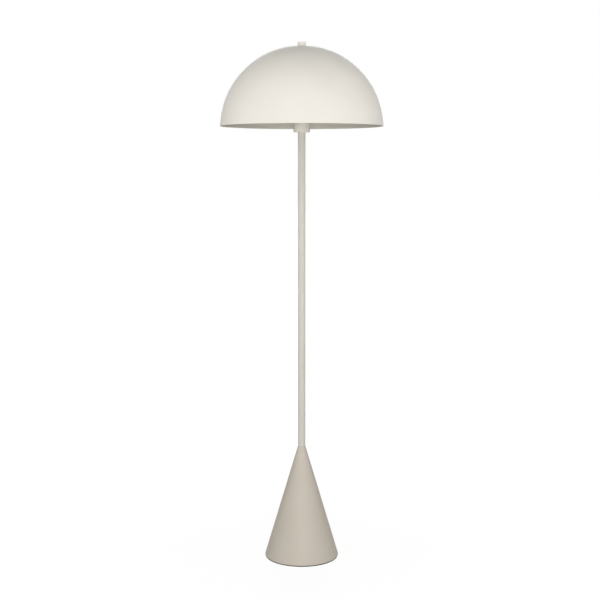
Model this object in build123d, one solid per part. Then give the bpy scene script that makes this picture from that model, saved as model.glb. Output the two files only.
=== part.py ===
from build123d import *
import os
from math import cos, radians, sin, sqrt, tan

# Mushroom floor lamp: a spun dome shade hangs by its crown on a wire harp, over one lampholder in a
# small cup. The cup tops a straight tube pole, which stands on a tall cone with an iron weight in it.
# Millimetres, +Z up, origin on the floor under the pole's axis. The lamp's front faces -Y.

# ---- Outside of the lamp ----
LAMP_H = 1543.0  # floor to the top of the finial
POLE_R = 11.1  # 7/8 inch tube
CONE_TOP_Z = 342.0
FOOT_R = 111.4  # the cone's widest radius, at its foot
CUP_R = 24.3
CUP_Z = 1282.5  # underside of the cup, and top of the pole
RIM_Z = 1300.0  # lower edge of the shade
DOME_R = 239.0
DOME_CENTRE_Z = RIM_Z - 7.0
CROWN_R = 221.0  # over the crown the wall bends a little tighter, which sets its middle lower
CROWN_DEG = 28.8  # how far from the axis the tighter bend starts
FLARE_DEG = 7.3  # the dome ends this far above its equator, in a straight flare down to the rim
FINIAL_R = 12.25

# ---- Sheet, tube and wire gauges ----
CONE_SHEET = 1.2
CUP_SHEET = 1.2
SHADE_SHEET = 0.8
POLE_WALL = 1.2
HARP_WIRE_R = 1.5
CORE_R = 1.0  # single insulated core

# ---- Screw threads, drawn as plain cylinders ----
GAP = 0.05  # radial gap of a screwed, pressed or welded fit
SLACK = 0.3  # radial gap of a washer or plate on its tube
LOOSE = 0.2  # radial gap of a screw in a plain hole
TAP_OVER = 1.0  # a blind tapped hole goes on this far past its screw
M10_R = 5.0  # hollow lamp thread
M10_BORE_R = 3.6
M8_R = 4.0  # stud under the finial
M4_R = 2.0
M3_R = 1.5
E27_SHELL_R = 13.25  # inside of the lampholder's screw shell
E27_CAP_R = 13.15  # outside of the bulb's cap

# ---- Base ----
FLOOR_Z = 0.0
PAD_R = 110.0
PAD_T = 2.5
PAD_HOLE_R = 5.0
COVER_R = 100.6
LIP_R = 101.0  # inner edge of the cone's turned-in foot
FOOT_BEND_R = 2.0
COVER_SCREW_RING_R = 70.0
COVER_SCREW_ANGLES = (30, 150, 270)
COVER_SCREW_L = 10.0
PAN_HEAD_R = 3.8
PAN_HEAD_H = 1.6
DRIVE_R = 1.6  # round recess for the driver
WEIGHT_Z = 13.0
WEIGHT_H = 25.0
WEIGHT_R = 95.0
WEIGHT_DRAFT = 3.0  # the casting's rim is this much smaller at its top
WEIGHT_EDGE_R = 3.0
WEIGHT_FOOT_R = 7.0
NUT_RECESS_R = 20.0
NUT_RECESS_H = 12.0
NOTCH_W = 16.0  # the cord's way past the rim of the weight
NOTCH_DEEP = 14.0
SEAT_PLATE_T = 2.0
FERRULE_H = 24.0
TIE_TUBE_Z = 16.5
TIE_TUBE_OVER = 15.0  # how far the tie tube goes up into the pole
TIE_WASHER_T = 1.6
TIE_WASHER_R = 12.0
EARTH_TAG_T = 0.8
EARTH_TAG_R = 8.5
EARTH_TAB_W = 5.0
EARTH_TAB_Y = 17.0
TIE_LOCK_T = 1.0
TIE_NUT_H = 4.6
TIE_NUT_FLATS = 17.0
LOCK_TEETH = 10
LOCK_SLOT_W = 1.2
GROMMET_Z = 20.0
GROMMET_HOLE_R = 5.0
GROMMET_NECK_R = 4.9
GROMMET_SNAP_R = 5.6
GROMMET_FLANGE_R = 7.0
GROMMET_BORE_R = 3.6
GROMMET_PROUD = 2.2
GROMMET_SNAP_OFF = CONE_SHEET + 0.3  # clear of the wall's inner face, which curves away
GROMMET_SNAP_END = 3.2
GROMMET_END = 8.0

# ---- Terminal strip under the weight ----
STRIP_W, STRIP_L, STRIP_H = 28.0, 17.0, 12.0
STRIP_Y = 30.0  # its front face
STRIP_Z = 5.0
STRIP_EDGE_R = 1.5
STRIP_ROOM = 3.0  # from the strip to the walls of its pocket
WAY_PITCH = 8.0  # from one terminal to the next
WAY_BORE_R = 1.6
WAY_SCREW_IN = 4.5  # from the strip's front or back to a clamping screw
WAY_SCREW_R = 1.7
CORE_IN = 6.0  # length of a core inside its terminal
WIRING_Z = 10.0  # height of the cores under the weight
STRIP_SCREW_HEAD_R = 2.0
STRIP_SCREW_HEAD_H = 1.6
STRIP_SCREW_SUNK = 3.0
STRIP_SCREW_BITE = 7.0  # thread in the weight
SLOT_W = 0.6
SLOT_DEEP = 0.7
RUN_SHARE = 0.45  # how much of its shorter run a core's bend takes up

# ---- Pole ----
JOINT_Z = (CONE_TOP_Z + CUP_Z) / 2
INSERT_H = 18.0
SPIGOT_R = 7.0
SPIGOT_L = 16.0
JOINT_BORE_R = 4.5
SEAM_CHAMFER = 0.25

# ---- Head ----
CUP_H = 66.0
CUP_FOOT_BEND_R = 1.6
NIPPLE_DOWN = 15.5  # how far the nipple goes down into the pole
NIPPLE_OVER_NUT = 6.5
SADDLE_T = 2.0
SADDLE_W = 14.0
EAR_OUT_X = 22.4
EAR_T = 1.5
EAR_W = 7.0
EAR_H = 14.0
HEAD_LOCK_R = 9.0
HEAD_LOCK_T = 0.8
HEAD_NUT_FLATS = 14.0
HEAD_NUT_H = 3.0
HOLDER_R = 17.5
HOLDER_CAP_H = 25.5
HOLDER_CAP_FLOOR = 5.0
HOLDER_CAP_WALL = 2.5
HOLDER_CAP_EDGE_R = 2.0
HOLDER_BODY_H = 32.0
HOLDER_FLOOR_T = 3.6
HOLDER_BORE_R = E27_SHELL_R + 0.7
HOLDER_MOUTH_R = 1.0  # rounding of the ceramic's mouth
SPIGOT_WALL = 1.7
SPIGOT_H = 3.0
SHELL_T = 0.6
SHELL_LIP_R = 10.0
SHELL_OFF_FLOOR = 0.4
SHELL_UNDER_MOUTH = 4.0
RIVET_R = 1.1
RIVET_X = (-8.0, 11.5)  # under the centre contact's foot, and under the shell's lip
LEAF_FOOT_X = (-9.6, -5.0)
LEAF_TIP_X = 3.0
LEAF_SLOPE = 1.5  # the leaf runs this far along for each millimetre that it rises
LEAF_T = 0.5
LEAF_HALF_W = 3.0
LEAF_REST = 0.3  # gap between the leaf and the bulb's contact
PILLAR_H = 6.0
PILLAR_W = 8.0
PILLAR_DEEP = 6.0
PILLAR_X = 8.5
PILLAR_CORE_X = 6.5
PILLAR_BORE_R = 1.3
PILLAR_ROOF = 1.0  # brass left over a core's end
PILLAR_HEAD_R = 2.3
PILLAR_HEAD_H = 1.8
PILLAR_SHANK_L = 1.7

# ---- Harp and crown ----
HARP_RISE_Z = 1360.0  # the arms leave the cup and bow out here
HARP_WIDE_X = 55.0
HARP_WIDE_Z = (1400.0, 1456.0)
HARP_SHOULDER_X = 40.0
HARP_TOP_Z = 1518.0
HARP_BENDS = (30.0, 45.0, 120.0, 25.0)
ARM_IN_HUB = 3.0
HUB_R = 8.0
HUB_BELOW_ARMS = 7.0
HUB_FLOOR = 3.0
HUB_EDGE_R = 2.0
LAND_R = 16.0  # the shade's crown is pressed flat inside this radius
GASKET_R = 12.0
GASKET_T = 1.0
DISH_R = 32.0
DISH_T = 1.5

# ---- Shade and finial ----
HEM_H = 6.0
CROWN_HOLE_R = M8_R + 0.5
FINIAL_WASHER_R = 10.5
FINIAL_WASHER_T = 0.8
FINIAL_THREAD = 7.5  # six turns of an M8 thread
FINIAL_THREAD_GAP = 0.08
FINIAL_HOLE_SPARE = 0.6
FINIAL_TOP_EDGE_R = 1.2
FINIAL_FOOT_EDGE_R = 0.5

# ---- Bulb ----
TIP_OFF_FLOOR = 2.6  # the bulb's contact, above the lampholder's floor
CONTACT_R = 4.5
CONTACT_H = 1.5
INSULATOR_R = 5.6
INSULATOR_H = 4.5
CAP_SHOULDER = 1.6
CAP_H = 21.0
CAP_T = 0.4
BULB_L = 110.0
BULB_R = 30.0
BULB_WALL = 1.4
GLOBE_BELOW_CENTRE = 10.0  # the globe starts this far under its centre
HOUSING_NECK = ((14.2, 0.0), (15.4, 9.0), (23.0, 27.0))  # radius and height over the cap
HOUSING_RIM_OUT = 0.5  # the housing's rim stands this far outside the globe
HOUSING_IN_CAP = 6.0
HOUSING_SOCKET_T = 1.6
BOARD_R = 24.5
BOARD_T = 1.6
BOARD_UNDER_RIM = 0.6
DIODES = 12
DIODE_RING_R = 17.0
DIODE_SIZE = (3.0, 3.0, 0.7)
DRIVER_SIZE = (17.0, 1.6, 34.0)
COIL_SIZE = (8.0, 5.0, 9.0)
COIL_AT = (-3.0, 22.0)
CAPACITOR_R = 3.5
CAPACITOR_H = 12.0
CAPACITOR_AT = (3.5, 8.0)
DRIVER_OVER_CAP = 4.0  # the board's lower edge, over the cap's shoulder

# ---- Cores inside the tube ----
CORE_X = 1.5  # each core's distance from the axis, inside the tie tube and the nipple
CORE_SPREAD_Y = 16.0
CORE_LEAVES = 1.0  # the cores turn out this far over the nipple
CORE_ARRIVES = 7.0
CORE_IN_PILLAR = 4.0

# ---- Heights and radii that follow ----
cover_top_z = PAD_T + CONE_SHEET
weight_top_z = WEIGHT_Z + WEIGHT_H
nut_recess_z = WEIGHT_Z + NUT_RECESS_H
tie_washer_z = nut_recess_z - TIE_WASHER_T
earth_tag_z = tie_washer_z - EARTH_TAG_T
tie_lock_z = earth_tag_z - TIE_LOCK_T
tie_nut_z = tie_lock_z - TIE_NUT_H
pole_bore_r = POLE_R - POLE_WALL
cup_floor_z = CUP_Z + CUP_SHEET
saddle_top_z = cup_floor_z + SADDLE_T
head_lock_top_z = saddle_top_z + HEAD_LOCK_T
head_nut_top_z = head_lock_top_z + HEAD_NUT_H
nipple_top_z = head_nut_top_z + NIPPLE_OVER_NUT
holder_joint_z = head_nut_top_z + HOLDER_CAP_H  # where the lampholder's cap and body meet
holder_floor_z = holder_joint_z + HOLDER_FLOOR_T
holder_top_z = holder_joint_z + HOLDER_BODY_H
shell_z = holder_floor_z + SHELL_OFF_FLOOR
shell_r = E27_SHELL_R + SHELL_T
pillar_z = holder_joint_z - PILLAR_H
harp_x = EAR_OUT_X - EAR_T - HARP_WIRE_R  # the wire lies against the saddle's ear
hub_z = HARP_TOP_Z - HUB_BELOW_ARMS
crown_x = (DOME_R - CROWN_R) * sin(radians(CROWN_DEG))  # centre of the crown's bend
crown_z = DOME_CENTRE_Z + (DOME_R - CROWN_R) * cos(radians(CROWN_DEG))
land_z = crown_z + sqrt(CROWN_R**2 - (LAND_R - crown_x) ** 2)
shade_seat_z = land_z - SHADE_SHEET
dish_land_z = shade_seat_z - GASKET_T
finial_z = land_z + FINIAL_WASHER_T
stud_top_z = finial_z + FINIAL_THREAD
bulb_tip_z = holder_floor_z + TIP_OFF_FLOOR
bulb_cap_z = bulb_tip_z + CONTACT_H + INSULATOR_H
bulb_cap_top_z = bulb_cap_z + CAP_H
globe_z = bulb_tip_z + BULB_L - BULB_R
housing_top_z = globe_z - GLOBE_BELOW_CENTRE
board_top_z = housing_top_z - BOARD_UNDER_RIM

# The cone's wall runs straight down to a rounded foot, whose bend takes a little off the corner.
cone_slope = (FOOT_R - POLE_R) / (CONE_TOP_Z - PAD_T)
for _ in range(6):
    cone_cos = 1 / sqrt(1 + cone_slope**2)
    cone_sin = cone_slope * cone_cos  # of the wall's angle to the vertical
    corner_r = FOOT_R + FOOT_BEND_R * ((1 + cone_sin) / cone_cos - 1)
    cone_slope = (corner_r - POLE_R) / (CONE_TOP_Z - PAD_T)

UPRIGHT = (Align.CENTER, Align.CENTER, Align.MIN)


def ring(outer_r, inner_r, bottom_z, top_z):
    """A flat-ended ring or tube about the lamp's axis; a disc where inner_r is 0."""
    body = Cylinder(outer_r, top_z - bottom_z, align=UPRIGHT)
    if inner_r:
        body -= Cylinder(inner_r, top_z - bottom_z, align=UPRIGHT)
    return Pos(0, 0, bottom_z) * body


def outline(points, radii=None):
    """A face in the r-z half plane, with the corners that radii names rounded."""
    face = make_face(Polyline(*points, close=True))
    for corner, radius in (radii or {}).items():
        face = fillet(face.vertices().sort_by_distance(corner)[0], radius)
    return face


def turned(face):
    """The solid that a face in the r-z half plane sweeps about the lamp's axis."""
    return revolve(Plane.XZ * face, Axis.Z)


def outer_rims(shape, radius):
    """The round edges of a ring that have its outer radius, lowest first."""
    rims = [e for e in shape.edges().filter_by(GeomType.CIRCLE) if e.radius > radius - GAP]
    return ShapeList(rims).sort_by(Axis.Z)


def hexagon(across_flats, bottom_z, top_z):
    """A hex nut on the hollow lamp thread."""
    flats = RegularPolygon(across_flats / 2, 6, major_radius=False)
    return Pos(0, 0, bottom_z) * extrude(flats - Circle(M10_R + GAP), top_z - bottom_z)


def lock_washer(outer_r, bottom_z, top_z):
    """A ring on the hollow lamp thread, with narrow slots cut from its bore between the teeth."""
    inner_r = M10_R + SLACK
    slot = Pos(inner_r, 0, bottom_z) * Box(outer_r - inner_r, LOCK_SLOT_W, top_z - bottom_z, align=UPRIGHT)
    washer = ring(outer_r, inner_r, bottom_z, top_z)
    for k in range(LOCK_TEETH):
        washer -= Rot(0, 0, 360 / LOCK_TEETH * k) * slot
    return washer


def bent_rod(points, radius, bends):
    """A round rod or wire along straight runs, joined by tangent arcs of the given radii."""
    path = FilletPolyline(*points, radius=bends)
    return sweep(Plane(path @ 0, z_dir=path % 0) * Circle(radius), path)


def widest_bends(points):
    """The radius of the largest arc at each corner of a route that leaves a little of each run straight."""
    points = [Vector(*p) for p in points]
    bends = []
    for before, corner, after in zip(points, points[1:], points[2:]):
        turn = radians((corner - before).get_angle(after - corner))
        shorter = min((corner - before).length, (after - corner).length)
        bends.append(RUN_SHARE * shorter / tan(turn / 2))
    return bends


def group(shape, places):
    """Copies of a shape at several places, as one group of separate solids."""
    return Compound(children=[place * shape for place in places])


def mirrored_pair(shape):
    """A shape on the +X side and its twin on the -X side, as one group of separate solids."""
    return Compound(children=[shape, mirror(shape, Plane.YZ)])


# ---- Base: pad, cover, iron weight and the cone over them ----
cover_screw_places = [Rot(0, 0, a) * Pos(COVER_SCREW_RING_R, 0, 0) for a in COVER_SCREW_ANGLES]
strip_middle_y = STRIP_Y + STRIP_L / 2
strip_screw_places = [Pos(x, strip_middle_y, 0) for x in (-WAY_PITCH / 2, WAY_PITCH / 2)]
way_xs = (-WAY_PITCH, 0.0, WAY_PITCH)
way_screw_places = [
    Pos(x, STRIP_Y + y, 0) for x in way_xs for y in (WAY_SCREW_IN, STRIP_L - WAY_SCREW_IN)
]


def cone_radius(z, depth=0.0):
    """The cone's radius at a height, at a depth under its outer face."""
    return POLE_R + cone_slope * (CONE_TOP_Z - z) - depth / cone_cos


def on_the_wall(depth):
    """A plane square to the cone's rear wall at the grommet, at a depth under its outer face."""
    origin = (0, cone_radius(GROMMET_Z) - depth * cone_cos, GROMMET_Z - depth * cone_sin)
    return Plane(origin, x_dir=(1, 0, 0), z_dir=(0, cone_cos, cone_sin))


def base_pad():
    """Dark foam disc stuck under the base, with a hole round each screw head."""
    hole = ring(PAD_HOLE_R, 0, FLOOR_Z, PAD_T)
    return ring(PAD_R, 0, FLOOR_Z, PAD_T) - group(hole, cover_screw_places)


def base_cover():
    """Flat disc that fills the opening inside the cone's lip."""
    hole = ring(M4_R + LOOSE, 0, PAD_T, cover_top_z)
    return ring(COVER_R, 0, PAD_T, cover_top_z) - group(hole, cover_screw_places)


def cover_screws():
    """Three pan-head screws, up through the cover into the feet of the weight."""
    screw = ring(PAN_HEAD_R, 0, PAD_T - PAN_HEAD_H, PAD_T) + ring(M4_R, 0, PAD_T, PAD_T + COVER_SCREW_L)
    screw -= ring(DRIVE_R, 0, PAD_T - PAN_HEAD_H, PAD_T - PAN_HEAD_H / 2)
    return group(screw, cover_screw_places)


def base_weight():
    """Iron casting: a drafted disc on three feet, hollowed for the tie nut, the strip and the cord."""
    top_r = WEIGHT_R - WEIGHT_DRAFT
    rim = [(0, WEIGHT_Z), (WEIGHT_R, WEIGHT_Z), (top_r, weight_top_z), (0, weight_top_z)]
    casting = turned(outline(rim, {rim[1]: WEIGHT_EDGE_R, rim[2]: WEIGHT_EDGE_R}))
    casting += group(ring(WEIGHT_FOOT_R, 0, cover_top_z, WEIGHT_Z), cover_screw_places)
    casting -= group(ring(M4_R + GAP, 0, cover_top_z, WEIGHT_Z + M4_R), cover_screw_places)
    casting -= ring(NUT_RECESS_R, 0, WEIGHT_Z, nut_recess_z)
    casting -= ring(M10_R + SLACK, 0, WEIGHT_Z, weight_top_z)
    strip_top_z = STRIP_Z + STRIP_H
    pocket = Box(
        STRIP_W + 2 * STRIP_ROOM,
        STRIP_L + 2 * STRIP_ROOM,
        strip_top_z - WEIGHT_Z,
        align=(Align.CENTER, Align.CENTER, Align.MIN),
    )
    casting -= Pos(0, strip_middle_y, WEIGHT_Z) * pocket
    tapped = ring(M3_R + GAP, 0, strip_top_z, strip_top_z + STRIP_SCREW_BITE + TAP_OVER)
    casting -= group(tapped, strip_screw_places)
    notch = Box(NOTCH_W, 2 * NOTCH_DEEP, WEIGHT_H, align=UPRIGHT)
    return casting - Pos(0, WEIGHT_R, WEIGHT_Z) * notch


def seat_plate():
    """Disc welded across the inside of the cone, which the weight is drawn up against."""
    top_z = weight_top_z + SEAT_PLATE_T
    return ring(cone_radius(top_z, CONE_SHEET) - GAP, M10_R + SLACK, weight_top_z, top_z)


def base_cone():
    """Rolled and welded sheet cone, turned in round its foot, with the grommet's hole at the back."""
    foot = (corner_r, PAD_T)
    inner_foot = (cone_radius(cover_top_z, CONE_SHEET), cover_top_z)
    points = [
        (cone_radius(CONE_TOP_Z, CONE_SHEET), CONE_TOP_Z),
        (POLE_R, CONE_TOP_Z),
        foot,
        (LIP_R, PAD_T),
        (LIP_R, cover_top_z),
        inner_foot,
    ]
    cone = turned(outline(points, {foot: FOOT_BEND_R, inner_foot: FOOT_BEND_R - CONE_SHEET}))
    return cone - extrude(on_the_wall(0) * Circle(GROMMET_HOLE_R), 2 * GROMMET_HOLE_R, both=True)


def cone_ferrule():
    """Turned steel plug brazed into the cone's top, which carries the pole."""
    bottom_z = CONE_TOP_Z - FERRULE_H
    depth = CONE_SHEET + GAP
    taper = [
        (M10_R + GAP, bottom_z),
        (cone_radius(bottom_z, depth), bottom_z),
        (cone_radius(CONE_TOP_Z, depth), CONE_TOP_Z),
        (M10_R + GAP, CONE_TOP_Z),
    ]
    return turned(outline(taper))


def cord_grommet():
    """Snap-in bush in the cone's rear wall: a flange outside, a neck, a snap ring and a barrel inside."""
    flange = extrude(on_the_wall(0) * Circle(GROMMET_FLANGE_R), GROMMET_PROUD)
    outer_edge = flange.edges().sort_by(Axis(flange.center(), on_the_wall(0).z_dir))[-1]
    bush = fillet(outer_edge, GROMMET_PROUD / 2)
    bush += extrude(on_the_wall(GROMMET_END) * Circle(GROMMET_NECK_R), GROMMET_END)
    snap = GROMMET_SNAP_END - GROMMET_SNAP_OFF
    bush += extrude(on_the_wall(GROMMET_SNAP_END) * Circle(GROMMET_SNAP_R), snap)
    bore = on_the_wall(GROMMET_END) * Circle(GROMMET_BORE_R)
    return bush - extrude(bore, GROMMET_END + GROMMET_PROUD)


# ---- Base: the tie tube and what is on its lower end ----
def tie_tube():
    """Hollow threaded rod that draws the pole, cone and weight together and carries the cores."""
    return ring(M10_R, M10_BORE_R, TIE_TUBE_Z, CONE_TOP_Z + TIE_TUBE_OVER)


def tie_washer():
    return ring(TIE_WASHER_R, M10_R + SLACK, tie_washer_z, nut_recess_z)


def earth_tag():
    """Soldering tag under the nut, with its tab bent down towards the terminal strip."""
    tab_foot_z = WIRING_Z - 2 * CORE_R
    flat = Box(EARTH_TAB_W, EARTH_TAB_Y, EARTH_TAG_T, align=(Align.CENTER, Align.MIN, Align.MIN))
    tab = Box(EARTH_TAB_W, EARTH_TAG_T, tie_washer_z - tab_foot_z, align=(Align.CENTER, Align.MAX, Align.MIN))
    tag = ring(EARTH_TAG_R, 0, earth_tag_z, tie_washer_z) + Pos(0, 0, earth_tag_z) * flat
    tag += Pos(0, EARTH_TAB_Y, tab_foot_z) * tab
    return tag - ring(M10_R + SLACK, 0, earth_tag_z, tie_washer_z)


# ---- Base: the terminal strip ----
def terminal_strip():
    """Three-way screw terminal strip, hung under the weight with its screws facing down."""
    block = Box(STRIP_W, STRIP_L, STRIP_H, align=(Align.CENTER, Align.MIN, Align.MIN))
    block = Pos(0, STRIP_Y, STRIP_Z) * fillet(block.edges().filter_by(Axis.Z), STRIP_EDGE_R)
    for x in way_xs:
        way = Plane((x, STRIP_Y, WIRING_Z), x_dir=(1, 0, 0), z_dir=(0, 1, 0))
        block -= extrude(way * Circle(WAY_BORE_R), STRIP_L)
    block -= group(ring(WAY_SCREW_R + GAP, 0, STRIP_Z, WIRING_Z), way_screw_places)
    block -= group(ring(M3_R + LOOSE, 0, STRIP_Z, STRIP_Z + STRIP_H), strip_screw_places)
    sunk = ring(STRIP_SCREW_HEAD_R + LOOSE, 0, STRIP_Z, STRIP_Z + STRIP_SCREW_SUNK)
    return block - group(sunk, strip_screw_places)


def slotted(screw, head_r, bottom_z):
    """A screw with a driver's slot cut in the underside of its head."""
    return screw - Pos(0, 0, bottom_z) * Box(2 * head_r, SLOT_W, SLOT_DEEP, align=UPRIGHT)


def terminal_screws():
    """The strip's six brass clamping screws."""
    bottom_z = STRIP_Z + SLOT_DEEP
    screw = ring(WAY_SCREW_R, 0, bottom_z, WIRING_Z - CORE_R)
    return group(slotted(screw, WAY_SCREW_R, bottom_z), way_screw_places)


def strip_screws():
    """Two small screws that hold the strip up against the weight."""
    head_top_z = STRIP_Z + STRIP_SCREW_SUNK
    bottom_z = head_top_z - STRIP_SCREW_HEAD_H
    screw = ring(STRIP_SCREW_HEAD_R, 0, bottom_z, head_top_z)
    screw += ring(M3_R, 0, head_top_z, STRIP_Z + STRIP_H + STRIP_SCREW_BITE)
    return group(slotted(screw, STRIP_SCREW_HEAD_R, bottom_z), strip_screw_places)


def earth_link():
    """Short green and yellow core from the earth tag to the middle terminal."""
    start = Plane((0, EARTH_TAB_Y, WIRING_Z), x_dir=(1, 0, 0), z_dir=(0, 1, 0))
    return extrude(start * Circle(CORE_R), STRIP_Y + CORE_IN - EARTH_TAB_Y)


# ---- Pole: two lengths of tube, screwed together in the middle ----
def pole_section(bottom_z, top_z):
    """A length of tube with its end edges just broken, which leaves a hairline seam at a joint."""
    tube = ring(POLE_R, pole_bore_r, bottom_z, top_z)
    return chamfer(outer_rims(tube, POLE_R), SEAM_CHAMFER)


def pole_insert(bottom_z, bore_r):
    """A tapped bush welded inside the end of a tube."""
    return ring(pole_bore_r - GAP, bore_r, bottom_z, bottom_z + INSERT_H)


def pole_joint_stud():
    """Bush in the upper tube, with the hollow screwed spigot that goes down into the lower one."""
    stud = ring(pole_bore_r - GAP, JOINT_BORE_R, JOINT_Z, JOINT_Z + INSERT_H)
    return stud + ring(SPIGOT_R, JOINT_BORE_R, JOINT_Z - SPIGOT_L, JOINT_Z)


# ---- Head: cup, harp saddle and lampholder on a hollow nipple ----
def head_nipple():
    return ring(M10_R, M10_BORE_R, CUP_Z - NIPPLE_DOWN, nipple_top_z)


def socket_cup():
    """Drawn sheet cup with a rounded bottom corner and a plain rim."""
    bore_r = M10_R + SLACK
    inner_r = CUP_R - CUP_SHEET
    foot = (CUP_R, CUP_Z)
    inner_foot = (inner_r, cup_floor_z)
    points = [(bore_r, CUP_Z), foot, (CUP_R, CUP_Z + CUP_H), (inner_r, CUP_Z + CUP_H), inner_foot]
    points.append((bore_r, cup_floor_z))
    return turned(outline(points, {foot: CUP_FOOT_BEND_R, inner_foot: CUP_FOOT_BEND_R - CUP_SHEET}))


def harp_saddle():
    """Flat strip under the lampholder, with an upturned ear at each end for the harp."""
    blank = ring(EAR_OUT_X, M10_R + SLACK, cup_floor_z, saddle_top_z)
    strip = blank & Pos(0, 0, cup_floor_z) * Box(2 * EAR_OUT_X, SADDLE_W, SADDLE_T, align=UPRIGHT)
    ear = Box(EAR_T, EAR_W, EAR_H, align=(Align.MAX, Align.CENTER, Align.MIN))
    for side in (0, 180):
        strip += Rot(0, 0, side) * Pos(EAR_OUT_X, 0, cup_floor_z) * ear
    return strip


def lampholder_cap():
    """Moulded thimble screwed on the nipple: a thick floor and a thin wall round the terminals."""
    cap = ring(HOLDER_R, M10_R + GAP, head_nut_top_z, holder_joint_z)
    cap = fillet(outer_rims(cap, HOLDER_R)[:1], HOLDER_CAP_EDGE_R)
    return cap - ring(HOLDER_R - HOLDER_CAP_WALL, 0, head_nut_top_z + HOLDER_CAP_FLOOR, holder_joint_z)


def lampholder_body():
    """Glazed ceramic body: a floor with rivet holes, a bore for the screw shell, a spigot for the cap."""
    body = ring(HOLDER_R, HOLDER_BORE_R, holder_floor_z, holder_top_z)
    mouth = outer_rims(body, HOLDER_BORE_R).filter_by_position(Axis.Z, holder_top_z - GAP, holder_top_z + GAP)
    body = fillet(mouth, HOLDER_MOUTH_R) + ring(HOLDER_R, 0, holder_joint_z, holder_floor_z)
    spigot_r = HOLDER_R - HOLDER_CAP_WALL - GAP
    body += ring(spigot_r, spigot_r - SPIGOT_WALL, holder_joint_z - SPIGOT_H, holder_joint_z)
    rivet_hole = ring(RIVET_R + GAP, 0, holder_joint_z, holder_floor_z)
    return body - group(rivet_hole, [Pos(x, 0, 0) for x in RIVET_X])


def lampholder_shell():
    """Brass screw shell with an inturned lip at its bottom."""
    shell = ring(shell_r, E27_SHELL_R, shell_z, holder_top_z - SHELL_UNDER_MOUTH)
    return shell + ring(shell_r, SHELL_LIP_R, shell_z, shell_z + SHELL_T)


def lampholder_contact():
    """Sprung brass leaf: its foot lies on the floor, and its tip rises to the bulb's contact."""
    low = holder_floor_z
    high = bulb_tip_z - LEAF_REST
    foot_x, bend_x = LEAF_FOOT_X
    tip_low = high - LEAF_T
    level_x = bend_x + LEAF_SLOPE * (tip_low - low)
    profile = [(foot_x, low), (bend_x, low), (level_x, tip_low), (LEAF_TIP_X, tip_low)]
    profile += [(x, z + LEAF_T) for x, z in reversed(profile)]
    return extrude(Plane.XZ * make_face(Polyline(*profile, close=True)), LEAF_HALF_W, both=True)


def lampholder_rivets():
    """Two brass rivets, from the terminal pillars up to the leaf and to the shell."""
    tops = (holder_floor_z, shell_z)
    pins = [Pos(x, 0, 0) * ring(RIVET_R, 0, holder_joint_z, top) for x, top in zip(RIVET_X, tops)]
    return Compound(children=pins)


def pillar_screw_start():
    """Where a pillar's screw goes in from the front, half way up the pillar."""
    middle = (PILLAR_CORE_X, -PILLAR_DEEP / 2, (pillar_z + holder_joint_z) / 2)
    return Plane(middle, x_dir=(1, 0, 0), z_dir=(0, 1, 0))


def lampholder_pillars():
    """Two brass terminal pillars under the ceramic, each with a core's hole and a screw's hole."""
    block = Pos(PILLAR_X, 0, pillar_z) * Box(PILLAR_W, PILLAR_DEEP, PILLAR_H, align=UPRIGHT)
    block -= Pos(PILLAR_CORE_X, 0, 0) * ring(PILLAR_BORE_R, 0, pillar_z, holder_joint_z - PILLAR_ROOF)
    block -= extrude(pillar_screw_start() * Circle(M3_R + GAP), PILLAR_DEEP / 2)
    return mirrored_pair(block)


def lampholder_screws():
    """The pillars' two brass clamping screws, just short of the cores."""
    start = pillar_screw_start()
    screw = extrude(start * Circle(M3_R), PILLAR_SHANK_L)
    screw += extrude(start * Circle(PILLAR_HEAD_R), -PILLAR_HEAD_H)
    screw -= extrude(start.offset(-PILLAR_HEAD_H) * Rectangle(2 * PILLAR_HEAD_R, SLOT_W), SLOT_DEEP)
    return mirrored_pair(screw)


# ---- Harp and crown: what the shade hangs on ----
def harp_arm():
    """Right-hand arm of the harp: up past the lampholder, out round the bulb and in to the hub."""
    route = [
        (harp_x, 0, saddle_top_z + CORE_R / 2),
        (harp_x, 0, HARP_RISE_Z),
        (HARP_WIDE_X, 0, HARP_WIDE_Z[0]),
        (HARP_WIDE_X, 0, HARP_WIDE_Z[1]),
        (HARP_SHOULDER_X, 0, HARP_TOP_Z),
        (HUB_R - ARM_IN_HUB, 0, HARP_TOP_Z),
    ]
    return bent_rod(route, HARP_WIRE_R, HARP_BENDS)


def crown_hub():
    """Turned boss that the two arms are brazed into, tapped for the stud."""
    top_z = dish_land_z - DISH_T
    points = [(0, hub_z), (HUB_R, hub_z), (HUB_R, top_z), (0, top_z)]
    hub = turned(outline(points, {points[1]: HUB_EDGE_R})) - ring(M8_R + GAP, 0, hub_z + HUB_FLOOR, top_z)
    for side in (1, -1):
        arm_hole = Plane((0, 0, HARP_TOP_Z), x_dir=(0, 1, 0), z_dir=(side, 0, 0)).offset(HUB_R - ARM_IN_HUB)
        hub -= extrude(arm_hole * Circle(HARP_WIRE_R + GAP), HUB_R)
    return hub


def crown_stud():
    """Headless stud, fixed in the hub, that the finial screws on."""
    return ring(M8_R, 0, hub_z + HUB_FLOOR, stud_top_z)


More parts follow.
